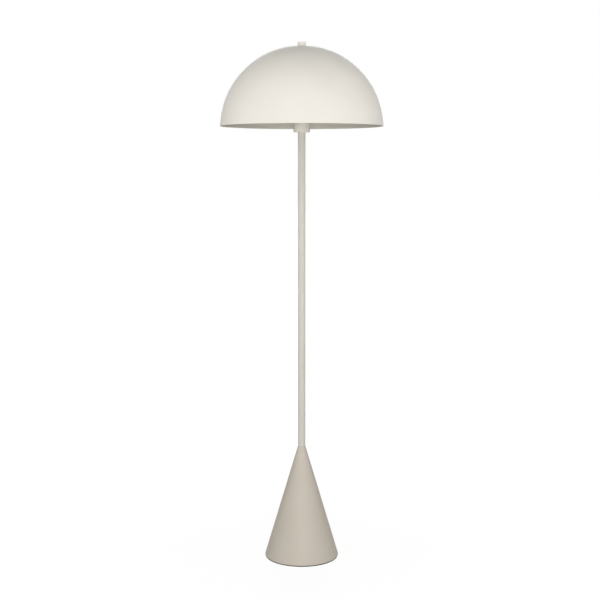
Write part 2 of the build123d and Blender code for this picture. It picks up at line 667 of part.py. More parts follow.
def crown_dish():
    """Dished disc that steadies the shade: flat in the middle, then parallel to the shade's crown."""
    top_r = CROWN_R - SHADE_SHEET - GASKET_T
    low_r = top_r - DISH_T
    top_edge = Vector(DISH_R, crown_z + sqrt(top_r**2 - (DISH_R - crown_x) ** 2))
    centre = Vector(crown_x, crown_z)
    low_edge = centre + (top_edge - centre) * (low_r / top_r)
    low_land_z = dish_land_z - DISH_T
    top_land = Vector(LAND_R, dish_land_z)
    low_land = Vector(crown_x + sqrt(low_r**2 - (low_land_z - crown_z) ** 2), low_land_z)
    bore_r = M8_R + SLACK
    edges = [
        Line((bore_r, dish_land_z), top_land),
        RadiusArc(top_land, top_edge, top_r),
        Line(top_edge, low_edge),
        RadiusArc(low_edge, low_land, -low_r),
        Line(low_land, (bore_r, low_land_z)),
        Line((bore_r, low_land_z), (bore_r, dish_land_z)),
    ]
    return turned(make_face(edges))


def crown_gasket():
    return ring(GASKET_R, M8_R + SLACK, dish_land_z, shade_seat_z)


# ---- Shade and finial ----
def shade_dome():
    """Spun dome: flat land, crown bend, spherical wall, short straight flare, and a folded hem."""
    flare = radians(FLARE_DEG)
    down = Vector(sin(flare), -cos(flare))  # along the flare
    inward = Vector(-cos(flare), -sin(flare))
    tangent = Vector(0, DOME_CENTRE_Z) - inward * DOME_R  # where the outer face turns straight
    hem_t = 2 * SHADE_SHEET
    flare_l = (tangent.Y - RIM_Z) / cos(flare) - hem_t / 2
    inner_r = DOME_R - SHADE_SHEET
    inner_crown_r = CROWN_R - SHADE_SHEET
    crown_out = Vector(sin(radians(CROWN_DEG)), cos(radians(CROWN_DEG)))

    def on_flare(depth, length):
        """A point at a depth under the flare's outer face and a length below its top."""
        return tangent + inward * depth + down * length

    outer_foot = on_flare(0, flare_l)
    fold = on_flare(hem_t / 2, flare_l + hem_t / 2)
    hem_foot = on_flare(hem_t, flare_l)
    hem_top = on_flare(hem_t, flare_l - HEM_H)
    wall_at_hem = on_flare(SHADE_SHEET, flare_l - HEM_H)
    inner_tangent = on_flare(SHADE_SHEET, 0)
    land = Vector(LAND_R, land_z)
    crown_edge = Vector(0, DOME_CENTRE_Z) + crown_out * DOME_R
    inner_crown_edge = Vector(0, DOME_CENTRE_Z) + crown_out * inner_r
    inner_land_x = crown_x + sqrt(inner_crown_r**2 - (shade_seat_z - crown_z) ** 2)
    inner_land = Vector(inner_land_x, shade_seat_z)
    edges = [
        Line((CROWN_HOLE_R, land_z), land),
        RadiusArc(land, crown_edge, CROWN_R),
        RadiusArc(crown_edge, tangent, DOME_R),
        Line(tangent, outer_foot),
        ThreePointArc(outer_foot, fold, hem_foot),
        Line(hem_foot, hem_top),
        Line(hem_top, wall_at_hem),
        Line(wall_at_hem, inner_tangent),
        RadiusArc(inner_tangent, inner_crown_edge, -inner_r),
        RadiusArc(inner_crown_edge, inner_land, -inner_crown_r),
        Line(inner_land, (CROWN_HOLE_R, shade_seat_z)),
        Line((CROWN_HOLE_R, shade_seat_z), (CROWN_HOLE_R, land_z)),
    ]
    return turned(make_face(edges))


def finial_washer():
    return ring(FINIAL_WASHER_R, M8_R + SLACK, land_z, finial_z)


def finial():
    """Turned knob with a blind tapped hole and softened edges."""
    points = [(0, finial_z), (FINIAL_R, finial_z), (FINIAL_R, LAMP_H), (0, LAMP_H)]
    knob = turned(outline(points, {points[1]: FINIAL_FOOT_EDGE_R, points[2]: FINIAL_TOP_EDGE_R}))
    return knob - ring(M8_R + FINIAL_THREAD_GAP, 0, finial_z, stud_top_z + FINIAL_HOLE_SPARE)


# ---- Bulb: a 60 mm lamp on a standard 27 mm screw cap ----
def bulb_contact():
    """Soft solder dome on the bulb's tip."""
    dome_r = (CONTACT_R**2 + CONTACT_H**2) / (2 * CONTACT_H)
    tip = (0, bulb_tip_z)
    edge = (CONTACT_R, bulb_tip_z + CONTACT_H)
    middle = (0, bulb_tip_z + CONTACT_H)
    return turned(make_face([Line(tip, middle), Line(middle, edge), RadiusArc(edge, tip, dome_r)]))


def bulb_insulator():
    """Black glass cone between the tip and the cap."""
    low_z = bulb_tip_z + CONTACT_H
    points = [(0, low_z), (INSULATOR_R, low_z), (E27_CAP_R - CAP_SHOULDER, bulb_cap_z), (0, bulb_cap_z)]
    return turned(outline(points))


def bulb_cap():
    """Plated screw cap, closed at its bottom by a shoulder on the insulator."""
    return ring(E27_CAP_R, 0, bulb_cap_z, bulb_cap_top_z) - ring(
        E27_CAP_R - CAP_T, 0, bulb_cap_z + CAP_T, bulb_cap_top_z
    )


def housing_side(depth):
    """The housing's flared side, from neck to globe, at a depth under its outer face."""
    rim_r = sqrt(BULB_R**2 - GLOBE_BELOW_CENTRE**2) + HOUSING_RIM_OUT
    points = [(r - depth, bulb_cap_top_z + h) for r, h in HOUSING_NECK]
    points.append((rim_r - depth, housing_top_z))
    return Spline(*points, tangents=[(0.05, 1), (0.42, 1)])


def bulb_housing():
    """Moulded white housing that flares from the cap up to the globe, open at its top."""
    outer = housing_side(0)
    inner = housing_side(BULB_WALL)
    neck_r = E27_CAP_R - CAP_T - GAP
    neck_z = bulb_cap_top_z - HOUSING_IN_CAP
    socket_r = (inner @ 0).X - HOUSING_SOCKET_T
    neck = Polyline(inner @ 0, (socket_r, bulb_cap_top_z), (socket_r, neck_z), (neck_r, neck_z),
                    (neck_r, bulb_cap_top_z), outer @ 0)
    return turned(make_face([*neck.edges(), outer, Line(outer @ 1, inner @ 1), inner]))


def bulb_diffuser():
    """Opal globe, a shell that stands on the housing's rim."""
    globe = Pos(0, 0, globe_z) * (Sphere(BULB_R) - Sphere(BULB_R - BULB_WALL))
    return globe & ring(2 * BULB_R, 0, housing_top_z, globe_z + 2 * BULB_R)


def bulb_led_board():
    """Round aluminium board in the housing's mouth, with a ring of diodes on it."""
    board = ring(BOARD_R, 0, board_top_z - BOARD_T, board_top_z)
    diode = Pos(DIODE_RING_R, 0, board_top_z) * Box(*DIODE_SIZE, align=UPRIGHT)
    for k in range(DIODES):
        board += Rot(0, 0, 360 / DIODES * k) * diode
    return board


def bulb_driver():
    """The bulb's driver: an upright board with a coil and a capacitor, in the housing's neck."""
    low_z = bulb_cap_z + DRIVER_OVER_CAP
    board = Pos(0, 0, low_z) * Box(*DRIVER_SIZE, align=UPRIGHT)
    face_y = DRIVER_SIZE[1] / 2
    coil = Pos(COIL_AT[0], face_y + COIL_SIZE[1] / 2, low_z + COIL_AT[1]) * Box(*COIL_SIZE, align=UPRIGHT)
    can = Cylinder(CAPACITOR_R, CAPACITOR_H, align=UPRIGHT)
    return board + coil + Pos(CAPACITOR_AT[0], face_y + CAPACITOR_R - GAP, low_z + CAPACITOR_AT[1]) * can


# ---- Cores, from the terminal strip up the tube to the lampholder ----
def core_wire(side):
    """One insulated core: out of its terminal, up the whole pole and out to its pillar."""
    route = [
        (side * WAY_PITCH, STRIP_Y + CORE_IN, WIRING_Z),
        (side * WAY_PITCH, CORE_SPREAD_Y, WIRING_Z),
        (side * CORE_X, 0, WIRING_Z),
        (side * CORE_X, 0, nipple_top_z + CORE_LEAVES),
        (side * PILLAR_CORE_X, 0, nipple_top_z + CORE_ARRIVES),
        (side * PILLAR_CORE_X, 0, pillar_z + CORE_IN_PILLAR),
    ]
    bends = widest_bends(route)
    print("bend radii of a core:", [round(b, 1) for b in bends])
    return bent_rod(route, CORE_R, bends)


NODES = {
    "base_pad": base_pad(),
    "base_cover": base_cover(),
    "cover_screws": cover_screws(),
    "base_weight": base_weight(),
    "seat_plate": seat_plate(),
    "base_cone": base_cone(),
    "cone_ferrule": cone_ferrule(),
    "cord_grommet": cord_grommet(),
    "tie_tube": tie_tube(),
    "tie_washer": tie_washer(),
    "earth_tag": earth_tag(),
    "tie_lock_washer": lock_washer(EARTH_TAG_R, tie_lock_z, earth_tag_z),
    "tie_nut": hexagon(TIE_NUT_FLATS, tie_nut_z, tie_lock_z),
    "terminal_strip": terminal_strip(),
    "terminal_screws": terminal_screws(),
    "strip_screws": strip_screws(),
    "earth_link": earth_link(),
    "pole_foot_insert": pole_insert(CONE_TOP_Z, M10_R + GAP),
    "pole_lower": pole_section(CONE_TOP_Z, JOINT_Z),
    "pole_joint_socket": pole_insert(JOINT_Z - INSERT_H, SPIGOT_R + GAP),
    "pole_joint_stud": pole_joint_stud(),
    "pole_upper": pole_section(JOINT_Z, CUP_Z),
    "pole_head_insert": pole_insert(CUP_Z - INSERT_H, M10_R + GAP),
    "live_wire": core_wire(-1),
    "neutral_wire": core_wire(1),
    "head_nipple": head_nipple(),
    "socket_cup": socket_cup(),
    "harp_saddle": harp_saddle(),
    "saddle_lock_washer": lock_washer(HEAD_LOCK_R, saddle_top_z, head_lock_top_z),
    "saddle_nut": hexagon(HEAD_NUT_FLATS, head_lock_top_z, head_nut_top_z),
    "lampholder_cap": lampholder_cap(),
    "lampholder_body": lampholder_body(),
    "lampholder_shell": lampholder_shell(),
    "lampholder_contact": lampholder_contact(),
    "lampholder_rivets": lampholder_rivets(),
    "lampholder_pillars": lampholder_pillars(),
    "lampholder_screws": lampholder_screws(),
    "harp_right": harp_arm(),
    "harp_left": mirror(harp_arm(), Plane.YZ),
    "crown_hub": crown_hub(),
    "crown_stud": crown_stud(),
    "crown_dish": crown_dish(),
    "crown_gasket": crown_gasket(),
    "shade_dome": shade_dome(),
    "finial_washer": finial_washer(),
    "finial": finial(),
    "bulb_contact": bulb_contact(),
    "bulb_insulator": bulb_insulator(),
    "bulb_cap": bulb_cap(),
    "bulb_driver": bulb_driver(),
    "bulb_housing": bulb_housing(),
    "bulb_led_board": bulb_led_board(),
    "bulb_diffuser": bulb_diffuser(),
}

os.makedirs("parts", exist_ok=True)
for name, shape in NODES.items():
    export_step(shape, f"parts/{name}.step")
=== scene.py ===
from math import acos, asin, atan2, cos, pi, radians, sin, sqrt, tan

import bpy
import numpy as np
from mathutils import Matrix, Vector


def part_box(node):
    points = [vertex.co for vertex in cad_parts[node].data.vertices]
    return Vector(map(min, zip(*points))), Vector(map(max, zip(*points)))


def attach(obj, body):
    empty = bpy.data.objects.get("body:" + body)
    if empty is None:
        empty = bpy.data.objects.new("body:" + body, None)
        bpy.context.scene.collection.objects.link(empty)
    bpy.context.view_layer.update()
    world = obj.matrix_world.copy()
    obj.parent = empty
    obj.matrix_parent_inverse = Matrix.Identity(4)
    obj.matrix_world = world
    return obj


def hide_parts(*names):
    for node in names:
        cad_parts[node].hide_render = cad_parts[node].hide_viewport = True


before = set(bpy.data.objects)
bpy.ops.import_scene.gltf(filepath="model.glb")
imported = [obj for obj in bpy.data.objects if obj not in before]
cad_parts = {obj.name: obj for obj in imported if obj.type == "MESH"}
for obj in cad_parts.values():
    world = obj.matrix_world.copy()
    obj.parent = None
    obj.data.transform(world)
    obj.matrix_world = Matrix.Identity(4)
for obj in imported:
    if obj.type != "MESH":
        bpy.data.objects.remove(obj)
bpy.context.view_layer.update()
mm = 0.001

# ---- The cone ----
# Rolled and welded sheet steel, powder coated. Its wall is as wide as the pole at the top, and its foot
# is turned in round the rim to a narrow lip. The cord's bush sits in a hole low in its back.
CONE_SHEET = 1.2 * mm
CONE_BEND = 2.0 * mm
CONE_LIP_R = 101.0 * mm
CONE_COLUMNS = 224
CORD_HOLE_R = 5.0 * mm
CORD_HOLE_Z = 20.0 * mm
CONE_ROWS = 39  # cells from the cone's top down to the patch of grid round the hole
HOLE_CELLS = 8  # cells across that patch, and down it
FOOT_ROWS = 2  # cells from the patch down to the foot's bend
HOLE_RINGS = (0.4, 0.75, 1.0)  # where rings of points lie on the way from the patch's edge to the hole
SEAM_PROUD = 0.12 * mm  # the dressed weld stands this far out of the wall, down the cone's back
SEAM_HALF_W = 2.5 * mm
# The base's tone is darker and warmer than the shade's paint: painted shade, for the lesser light down by the
# floor.
BASE_SHADED_TONE = (203, 195, 183)
SAME_POINT = 1e-4 * mm  # points nearer to each other than this are one
SHARP_FOLD = radians(32)  # faces that meet at more than this keep a hard edge
NOISE_RANGE = (0.3, 0.7)  # nearly all of a noise's values lie between these


def arc(centre, radius, start, end, steps):
    """Points centre + radius (cos a, sin a), with a in even steps from start to end, in degrees."""
    a = np.radians(np.linspace(start, end, steps + 1))
    return np.stack([centre[0] + radius * np.cos(a), centre[1] + radius * np.sin(a)], 1)


def run(start, end, steps):
    """Points in even steps along the straight line between two points, both ends included."""
    t = np.linspace(0, 1, steps + 1)[:, None]
    return (1 - t) * np.asarray(start) + t * np.asarray(end)


def cells(rows, columns, start=0):
    """Quads of a grid whose point (i, j) is start + i * columns + j. The last column joins the first."""
    i, j = np.meshgrid(np.arange(rows - 1), np.arange(columns), indexing="ij")
    k = (j + 1) % columns
    quads = [i * columns + j, (i + 1) * columns + j, (i + 1) * columns + k, i * columns + k]
    return start + np.stack(quads, -1)


def drop_repeats(outline):
    """The outline without points that repeat the one before."""
    step = np.linalg.norm(np.diff(outline, axis=0), axis=1)
    return outline[np.concatenate([[True], step > SAME_POINT])]


def turned(outline, columns=96, relief=None):
    """A surface of revolution: point (i, j) is (r_i cos a_j, r_i sin a_j, z_i), with a_j = 2 pi j / columns.

    The outline is a closed loop of (r, z), or a line with both ends on the axis, where the poles are closed
    by fans. It is put clockwise, so faces point out of the metal. relief(r, z, a) adds to r and z.
    """
    outline = drop_repeats(np.asarray(outline, float))
    r, z = outline.T
    if np.sum(r * np.roll(z, -1) - z * np.roll(r, -1)) > 0:
        outline = outline[::-1]
    on_axis = outline[0, 0] < SAME_POINT
    loop = outline if on_axis else np.vstack([outline, outline[:1]])
    a = np.linspace(0, 2 * pi, columns, endpoint=False)
    r = np.broadcast_to(loop[:, :1], (len(loop), columns))
    z = np.broadcast_to(loop[:, 1:], (len(loop), columns))
    if relief:
        dr, dz = relief(r, z, a[None, :])
        r, z = r + dr, z + dz
    points = np.stack([r * np.cos(a), r * np.sin(a), z], -1).reshape(-1, 3)
    quads = cells(len(loop), columns)
    if not on_axis:
        total = (len(loop) - 1) * columns
        return points[:total], (quads % total).reshape(-1, 4).tolist()
    ring = np.arange(columns)
    following = (ring + 1) % columns
    end = 1 + (len(loop) - 2) * columns
    last_ring = end - columns
    first_fan = np.stack([np.zeros_like(ring), 1 + ring, 1 + following], 1)
    inner = cells(len(loop) - 2, columns, 1).reshape(-1, 4)
    last_fan = np.stack([last_ring + ring, np.full_like(ring, end), last_ring + following], 1)
    kept = np.vstack([points[:1], points[columns:-columns], points[-1:]])
    return kept, first_fan.tolist() + inner.tolist() + last_fan.tolist()


def tint(red, green, blue):
    """Linear colour of a screen colour from 0 to 255."""
    c = np.array([red, green, blue]) / 255
    c = np.where(c <= 0.04045, c / 12.92, ((c + 0.055) / 1.055) ** 2.4)
    return (*c.tolist(), 1.0)


def finish_of(name, **sockets):
    """A material with one Principled shader, whose own sockets hold what is the same all over."""
    material = bpy.data.materials.new(name)
    material.use_nodes = True
    shader = material.node_tree.nodes["Principled BSDF"]
    for socket, value in sockets.items():
        shader.inputs[socket.replace("_", " ")].default_value = value
    return material, shader


def noise(material, grain, detail=2.0, stretch=(1, 1, 1)):
    """Noise over the object's own coordinates, with grains of the given size, stretched along its axes."""
    nodes, links = material.node_tree.nodes, material.node_tree.links
    mapping = nodes.new("ShaderNodeMapping")
    mapping.inputs["Scale"].default_value = [1 / (grain * s) for s in stretch]
    texture = nodes.new("ShaderNodeTexNoise")
    texture.inputs["Scale"].default_value = 1.0
    texture.inputs["Detail"].default_value = detail
    links.new(nodes.new("ShaderNodeTexCoord").outputs["Object"], mapping.inputs["Vector"])
    links.new(mapping.outputs["Vector"], texture.inputs["Vector"])
    return texture.outputs["Fac"]


def shade_between(material, shader, factor, low, high):
    """Base colour between two screen colours, as the factor goes through a noise's range."""
    nodes, links = material.node_tree.nodes, material.node_tree.links
    ramp = nodes.new("ShaderNodeValToRGB")
    for stop, position, colour in zip(ramp.color_ramp.elements, NOISE_RANGE, (low, high)):
        stop.position = position
        stop.color = tint(*colour)
    links.new(factor, ramp.inputs["Fac"])
    links.new(ramp.outputs["Color"], shader.inputs["Base Color"])


def roughness_between(material, shader, factor, low, high):
    """Roughness between two values, as the factor goes through a noise's range."""
    nodes, links = material.node_tree.nodes, material.node_tree.links
    spread = nodes.new("ShaderNodeMapRange")
    for socket, value in zip(("From Min", "From Max", "To Min", "To Max"), (*NOISE_RANGE, low, high)):
        spread.inputs[socket].default_value = value
    links.new(factor, spread.inputs["Value"])
    links.new(spread.outputs["Result"], shader.inputs["Roughness"])


def raise_by(material, shader, factor, height):
    """Bumps of the given height in metres, where the factor is high."""
    nodes, links = material.node_tree.nodes, material.node_tree.links
    bump = nodes.new("ShaderNodeBump")
    bump.inputs["Strength"].default_value = 1.0
    bump.inputs["Distance"].default_value = height
    links.new(factor, bump.inputs["Height"])
    links.new(bump.outputs["Normal"], shader.inputs["Normal"])


def powder_coat(name, colour, roughness):
    """Matt powder coat: the faint orange peel of melted powder, and hardly any drift in tone."""
    material, shader = finish_of(name, Specular_IOR_Level=0.15)
    red, green, blue = colour
    drift = noise(material, grain=90 * mm)
    gloss = noise(material, grain=12 * mm)
    peel = noise(material, grain=1.1 * mm, detail=3.0)
    shade_between(material, shader, drift, (red - 2, green - 2, blue - 3), (red + 1, green + 1, blue + 1))
    roughness_between(material, shader, gloss, roughness - 0.04, roughness + 0.05)
    raise_by(material, shader, peel, height=0.03 * mm)
    return material


def piece(name, surface, material, body, slot, *stands_for):
    """Makes a named piece of (points, faces), smooth but for its sharp folds, that rides on a body."""
    points, faces = surface
    mesh = bpy.data.meshes.new(name)
    mesh.from_pydata(np.asarray(points).tolist(), [], faces)
    mesh.shade_smooth()
    mesh.set_sharp_from_angle(angle=SHARP_FOLD)
    mesh.materials.append(material)
    shape = bpy.data.objects.new(name, mesh)
    bpy.context.scene.collection.objects.link(shape)
    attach(shape, body)
    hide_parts(*stands_for)
    return shape


def coat(material, *names):
    """Gives a finish to pieces whose built shape is kept."""
    for name in names:
        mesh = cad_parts[name].data
        mesh.materials.clear()
        mesh.materials.append(material)


pole_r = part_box("pole_lower")[1].x
cone_low, cone_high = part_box("base_cone")
bend_centre = np.array([cone_high.x - CONE_BEND, cone_low.z + CONE_BEND])
to_top = np.array([pole_r, cone_high.z]) - bend_centre
wall_tilt = atan2(to_top[1], to_top[0]) - acos(CONE_BEND / np.linalg.norm(to_top))
wall_out = np.array([cos(wall_tilt), sin(wall_tilt)])  # the wall's outward direction, in (r, z)


def cone_r(z, depth):
    """Radius of the cone's straight wall at height z, at a depth under its outer face."""
    return pole_r + (cone_high.z - z) * tan(wall_tilt) - depth / wall_out[0]


def cone_rows(depth, step):
    """Heights of a wall's grid rows: from the top down to the patch, across it, and on to the foot bend."""
    half = step * HOLE_CELLS / 2 * wall_out[0]
    middle = CORD_HOLE_Z - depth * wall_out[1]
    foot = (bend_centre + wall_out * (CONE_BEND - depth))[1]
    above = np.linspace(cone_high.z, middle + half, CONE_ROWS + 1)
    across = np.linspace(middle + half, middle - half, HOLE_CELLS + 1)
    below = np.linspace(middle - half, foot, FOOT_ROWS + 1)
    return np.concatenate([above, across[1:], below[1:]])


def cone_surface():
    """Outline of the wall, carried round the axis, with a round hole through both of its faces.

    Point (i, j) is (r_i cos a_j, r_i sin a_j, z_i). Round the hole, a square of cells is left out of each
    wall, and rings of points run from the square's edge to the hole: (1 - t) edge + t circle in (x, height),
    put back on the wall as y = sqrt(r(z)^2 - x^2).
    """
    angles = np.linspace(0, 2 * pi, CONE_COLUMNS, endpoint=False)
    step = 2 * pi / CONE_COLUMNS * cone_r(CORD_HOLE_Z, 0)
    outer_z, inner_z = cone_rows(0, step), cone_rows(CONE_SHEET, step)
    tilt = np.degrees(wall_tilt)
    outline = np.vstack([
        np.stack([cone_r(outer_z, 0), outer_z], 1),
        arc(bend_centre, CONE_BEND, tilt, -90, 10)[1:],
        [[CONE_LIP_R, cone_low.z], [CONE_LIP_R, cone_low.z + CONE_SHEET]],
        arc(bend_centre, CONE_BEND - CONE_SHEET, -90, tilt, 6),
        np.stack([cone_r(inner_z[::-1], CONE_SHEET), inner_z[::-1]], 1)[1:],
    ])
    r, z = outline[:, :1], np.broadcast_to(outline[:, 1:], (len(outline), CONE_COLUMNS))
    x = r * np.cos(angles)
    seam = SEAM_PROUD * np.clip(1 - np.abs(x) / SEAM_HALF_W, 0, 1) * (np.sin(angles) > 0)
    r = r + seam * (z > CORD_HOLE_Z + 2 * CORD_HOLE_R)
    points = [np.stack([r * np.cos(angles), r * np.sin(angles), z], -1).reshape(-1, 3)]
    rows, count = len(outline), len(outline) * CONE_COLUMNS
    quads = cells(rows + 1, CONE_COLUMNS) % count
    keep = np.ones(quads.shape[:2], bool)
    first_column = CONE_COLUMNS // 4 - HOLE_CELLS // 2
    columns = np.arange(first_column, first_column + HOLE_CELLS + 1)
    faces = []
    circles = []
    for depth, top_row, down in ((0.0, CONE_ROWS, 1), (CONE_SHEET, rows - 1 - CONE_ROWS, -1)):
        patch = top_row + down * np.arange(HOLE_CELLS + 1)
        keep[np.ix_(np.minimum(patch[:-1], patch[1:]), columns[:-1])] = False
        edge = np.concatenate([
            patch[0] * CONE_COLUMNS + columns[:-1],
            patch[:-1] * CONE_COLUMNS + columns[-1],
            patch[-1] * CONE_COLUMNS + columns[:0:-1],
            patch[:0:-1] * CONE_COLUMNS + columns[0],
        ])
        middle = CORD_HOLE_Z - depth * wall_out[1]
        flat = points[0][edge][:, [0, 2]]
        bearing = np.arctan2((flat[:, 1] - middle) / wall_out[0], flat[:, 0])
        circle = CORD_HOLE_R * np.stack([np.cos(bearing), wall_out[0] * np.sin(bearing)], 1)
        hole = circle + (0, middle)
        rings = [edge]
        for t in HOLE_RINGS:
            across = (1 - t) * flat + t * hole
            y = np.sqrt(cone_r(across[:, 1], depth) ** 2 - across[:, 0] ** 2)
            rings.append(count + np.arange(len(edge)))
            points.append(np.stack([across[:, 0], y, across[:, 1]], 1))
            count += len(edge)
        for a, b in zip(rings, rings[1:]):
            band = np.stack([a, b, np.roll(b, -1), np.roll(a, -1)], 1)
            faces.append(band[:, ::-1] if down == -1 else band)
        circles.append(rings[-1])
    a, b = circles
    faces.append(np.stack([a, b, np.roll(b, -1), np.roll(a, -1)], 1))
    faces.insert(0, quads[keep])
    return np.vstack(points), np.vstack(faces).tolist()


# The cone's coat takes that darker tone, which is painted shade.
base_paint = powder_coat("base_coat_painted_shade", BASE_SHADED_TONE, 0.52)
piece("base_cone_sheet", cone_surface(), base_paint, "stand", "base_paint", "base_cone")

# ---- Inside the cone ----
# A turned steel plug brazed in the cone's top carries the pole, and a disc welded across the cone seats
# the weight, a disc of cast iron on three feet. A hollow threaded tube runs from the plug down through
# the weight, and the nut on its lower end draws them together. All but the iron is zinc plated.
def plated(name, low, high, roughness):
    """Plated or turned metal: its tone and gloss drift a little, under very fine machining marks."""
    material, shader = finish_of(name, Metallic=1.0)
    drift = noise(material, grain=14 * mm)
    gloss = noise(material, grain=3 * mm)
    marks = noise(material, grain=0.5 * mm, stretch=(3, 3, 0.3))
    shade_between(material, shader, drift, low, high)
    roughness_between(material, shader, gloss, roughness - 0.06, roughness + 0.08)
    raise_by(material, shader, marks, height=0.01 * mm)
    return material


def cast(name, low, high):
    """Sand-cast iron: dark, rough, and pitted."""
    material, shader = finish_of(name, Specular_IOR_Level=0.3)
    drift = noise(material, grain=9 * mm, detail=4.0)
    gloss = noise(material, grain=4 * mm)
    pits = noise(material, grain=1.6 * mm, detail=4.0)
    shade_between(material, shader, drift, low, high)
    roughness_between(material, shader, gloss, 0.68, 0.88)
    raise_by(material, shader, pits, height=0.25 * mm)
    return material


zinc = plated("zinc_plated_steel", (176, 178, 178), (196, 198, 196), 0.36)
coat(zinc, "cone_ferrule", "seat_plate", "tie_tube", "tie_washer", "tie_lock_washer", "tie_nut", "earth_tag")
coat(cast("cast_iron", (58, 58, 60), (80, 79, 77)), "base_weight")

# ---- Terminal strip ----
# A three-way strip of moulded nylon with brass clamps, screwed up under the weight. The earth core runs
# to it from the tag on the tie tube, and the live and neutral cores go up the tube from it.
FLOW_DRIFT = 6  # how far a plastic's tone drifts, of 255
WAVES_A_UNIT = 10  # a wave texture repeats this often in a unit of length, at a scale of 1


def moulded(name, colour, roughness, **sockets):
    """Moulded plastic: an even colour with a faint flow of tone, and the fine texture of its tool."""
    material, shader = finish_of(name, **sockets)
    low = [max(c - FLOW_DRIFT, 0) for c in colour]
    flow = noise(material, grain=22 * mm)
    gloss = noise(material, grain=5 * mm)
    texture = noise(material, grain=0.4 * mm)
    shade_between(material, shader, flow, low, colour)
    roughness_between(material, shader, gloss, roughness - 0.04, roughness + 0.06)
    raise_by(material, shader, texture, height=0.012 * mm)
    return material


def striped(name, first, second, width):
    """Insulation in two colours, in slanting stripes of the given width."""
    material, shader = finish_of(name, Roughness=0.45)
    nodes, links = material.node_tree.nodes, material.node_tree.links
    wave = nodes.new("ShaderNodeTexWave")
    wave.bands_direction = "DIAGONAL"
    wave.inputs["Scale"].default_value = 1 / (WAVES_A_UNIT * width)
    links.new(nodes.new("ShaderNodeTexCoord").outputs["Object"], wave.inputs["Vector"])
    shade_between(material, shader, wave.outputs["Fac"], first, second)
    return material


brass = plated("yellow_brass", (186, 152, 88), (204, 172, 106), 0.3)
coat(moulded("terminal_nylon", (224, 222, 212), 0.42), "terminal_strip")
coat(brass, "terminal_screws")
coat(zinc, "strip_screws")
coat(moulded("brown_insulation", (98, 62, 40), 0.4), "live_wire")
coat(moulded("blue_insulation", (52, 92, 168), 0.4), "neutral_wire")
coat(striped("earth_insulation", (64, 128, 58), (214, 200, 60), width=2 * mm), "earth_link")

# ---- Cord bush ----
# A black rubber bush snapped into the hole at the back: a rounded flange outside, a neck through the
# sheet, a barb behind it and a short barrel. Its bore flares at the mouth, so that it can't chafe a cord.
BUSH_FLANGE_R = 7.0 * mm
BUSH_PROUD = 2.2 * mm
BUSH_NECK_R = 4.9 * mm
BUSH_BARB_R = 5.6 * mm
BUSH_BARB = (-1.5 * mm, -3.2 * mm)
BUSH_BORE_R = 3.6 * mm
BUSH_TAPER = 0.1 * mm  # how much wider than the neck the barrel is behind the barb
BUSH_END = -8.0 * mm
BUSH_CHAMFER = 0.4 * mm
BUSH_ROUND = 0.9 * mm


def placed(surface, origin, axis):
    """The surface with its own +Z along the axis and its +X kept, and its origin moved: p = o + R q."""
    z = np.asarray(axis, float)
    y = np.cross(z, (1.0, 0.0, 0.0))
    y /= np.linalg.norm(y)
    turn = np.stack([np.cross(y, z), y, z])
    return np.asarray(origin) + surface[0] @ turn, surface[1]


def bush_outline():
    """Round the flange's edge and the mouth of the bore by arcs; the rest is straight."""
    edge = BUSH_PROUD - BUSH_ROUND
    return np.vstack([
        arc((BUSH_BORE_R + BUSH_ROUND, edge), BUSH_ROUND, 180, 90, 8),
        arc((BUSH_FLANGE_R - BUSH_ROUND, edge), BUSH_ROUND, 90, 0, 8),
        [[BUSH_FLANGE_R, 0], [BUSH_NECK_R, 0], [BUSH_NECK_R, BUSH_BARB[0]], [BUSH_BARB_R, BUSH_BARB[0]]],
        [[BUSH_NECK_R + BUSH_TAPER, BUSH_BARB[1]], [BUSH_NECK_R, BUSH_END + BUSH_CHAMFER]],
        [[BUSH_NECK_R - BUSH_CHAMFER, BUSH_END], [BUSH_BORE_R, BUSH_END]],
    ])


on_wall = (0, cone_r(CORD_HOLE_Z, 0), CORD_HOLE_Z)
rubber = moulded("black_rubber", (42, 41, 40), 0.62, Specular_IOR_Level=0.35)
bush = placed(turned(bush_outline(), columns=72), on_wall, (0, *wall_out))
piece("cord_bush", bush, rubber, "stand", "grommet_rubber", "cord_grommet")

# ---- Under the cone ----
# A steel cover fills the opening inside the lip, and three plated pan-head screws go up through it into
# the weight's feet. A disc of dark closed-cell foam is stuck over it, with a hole round each screw head.
SCREW_RING_R = 70.0 * mm
SCREW_ANGLES = (30, 150, 270)
SCREW_TURNS = (0.3, 1.1, 0.7)  # where each recess came to rest, in radians
HEAD_R = 3.8 * mm
HEAD_H = 1.6 * mm
HEAD_CROWN = 0.7 * mm
THREAD_R = 2.0 * mm
SCREW_PITCH = 0.7 * mm
SCREW_DEEP = 0.36 * mm
CROSS_L = 2.0 * mm
CROSS_W = 0.42 * mm
CROSS_DEEP = 1.0 * mm
CROSS_WALL = 0.35 * mm
THREAD_ROWS = 120
FOAM_CELL = 0.8 * mm
HAIR = mm / 100  # less than any step between two of a thread's radii


def thread(z, a, pitch, deep, start, end, fade):
    """A right-hand thread's depth, deep (1 - cos(2 pi z / pitch - a)) / 2, run out over fade at both ends."""
    here = np.clip((z - start) / fade, 0, 1) * np.clip((end - z) / fade, 0, 1)
    return here * deep * (1 - np.cos(2 * pi * z / pitch - a)) / 2


def screw_relief(r, z, a):
    """The thread cuts into the shank, and a cross with sloping walls is sunk in the head."""
    head_top = screw_low + HEAD_H
    cut = thread(z, a, SCREW_PITCH, SCREW_DEEP, head_top, screw_high, SCREW_PITCH) * (r > THREAD_R - HAIR)
    x, y = np.abs(r * np.cos(a)), np.abs(r * np.sin(a))
    within = [np.clip((CROSS_W + CROSS_WALL - v) / CROSS_WALL, 0, 1) for v in (x, y)]
    along = [np.clip((CROSS_L - v) / CROSS_WALL, 0, 1) for v in (x, y)]
    cross = np.maximum(within[1] * along[0], within[0] * along[1])
    return -cut, CROSS_DEEP * cross * (z < screw_low + HEAD_CROWN + HAIR)


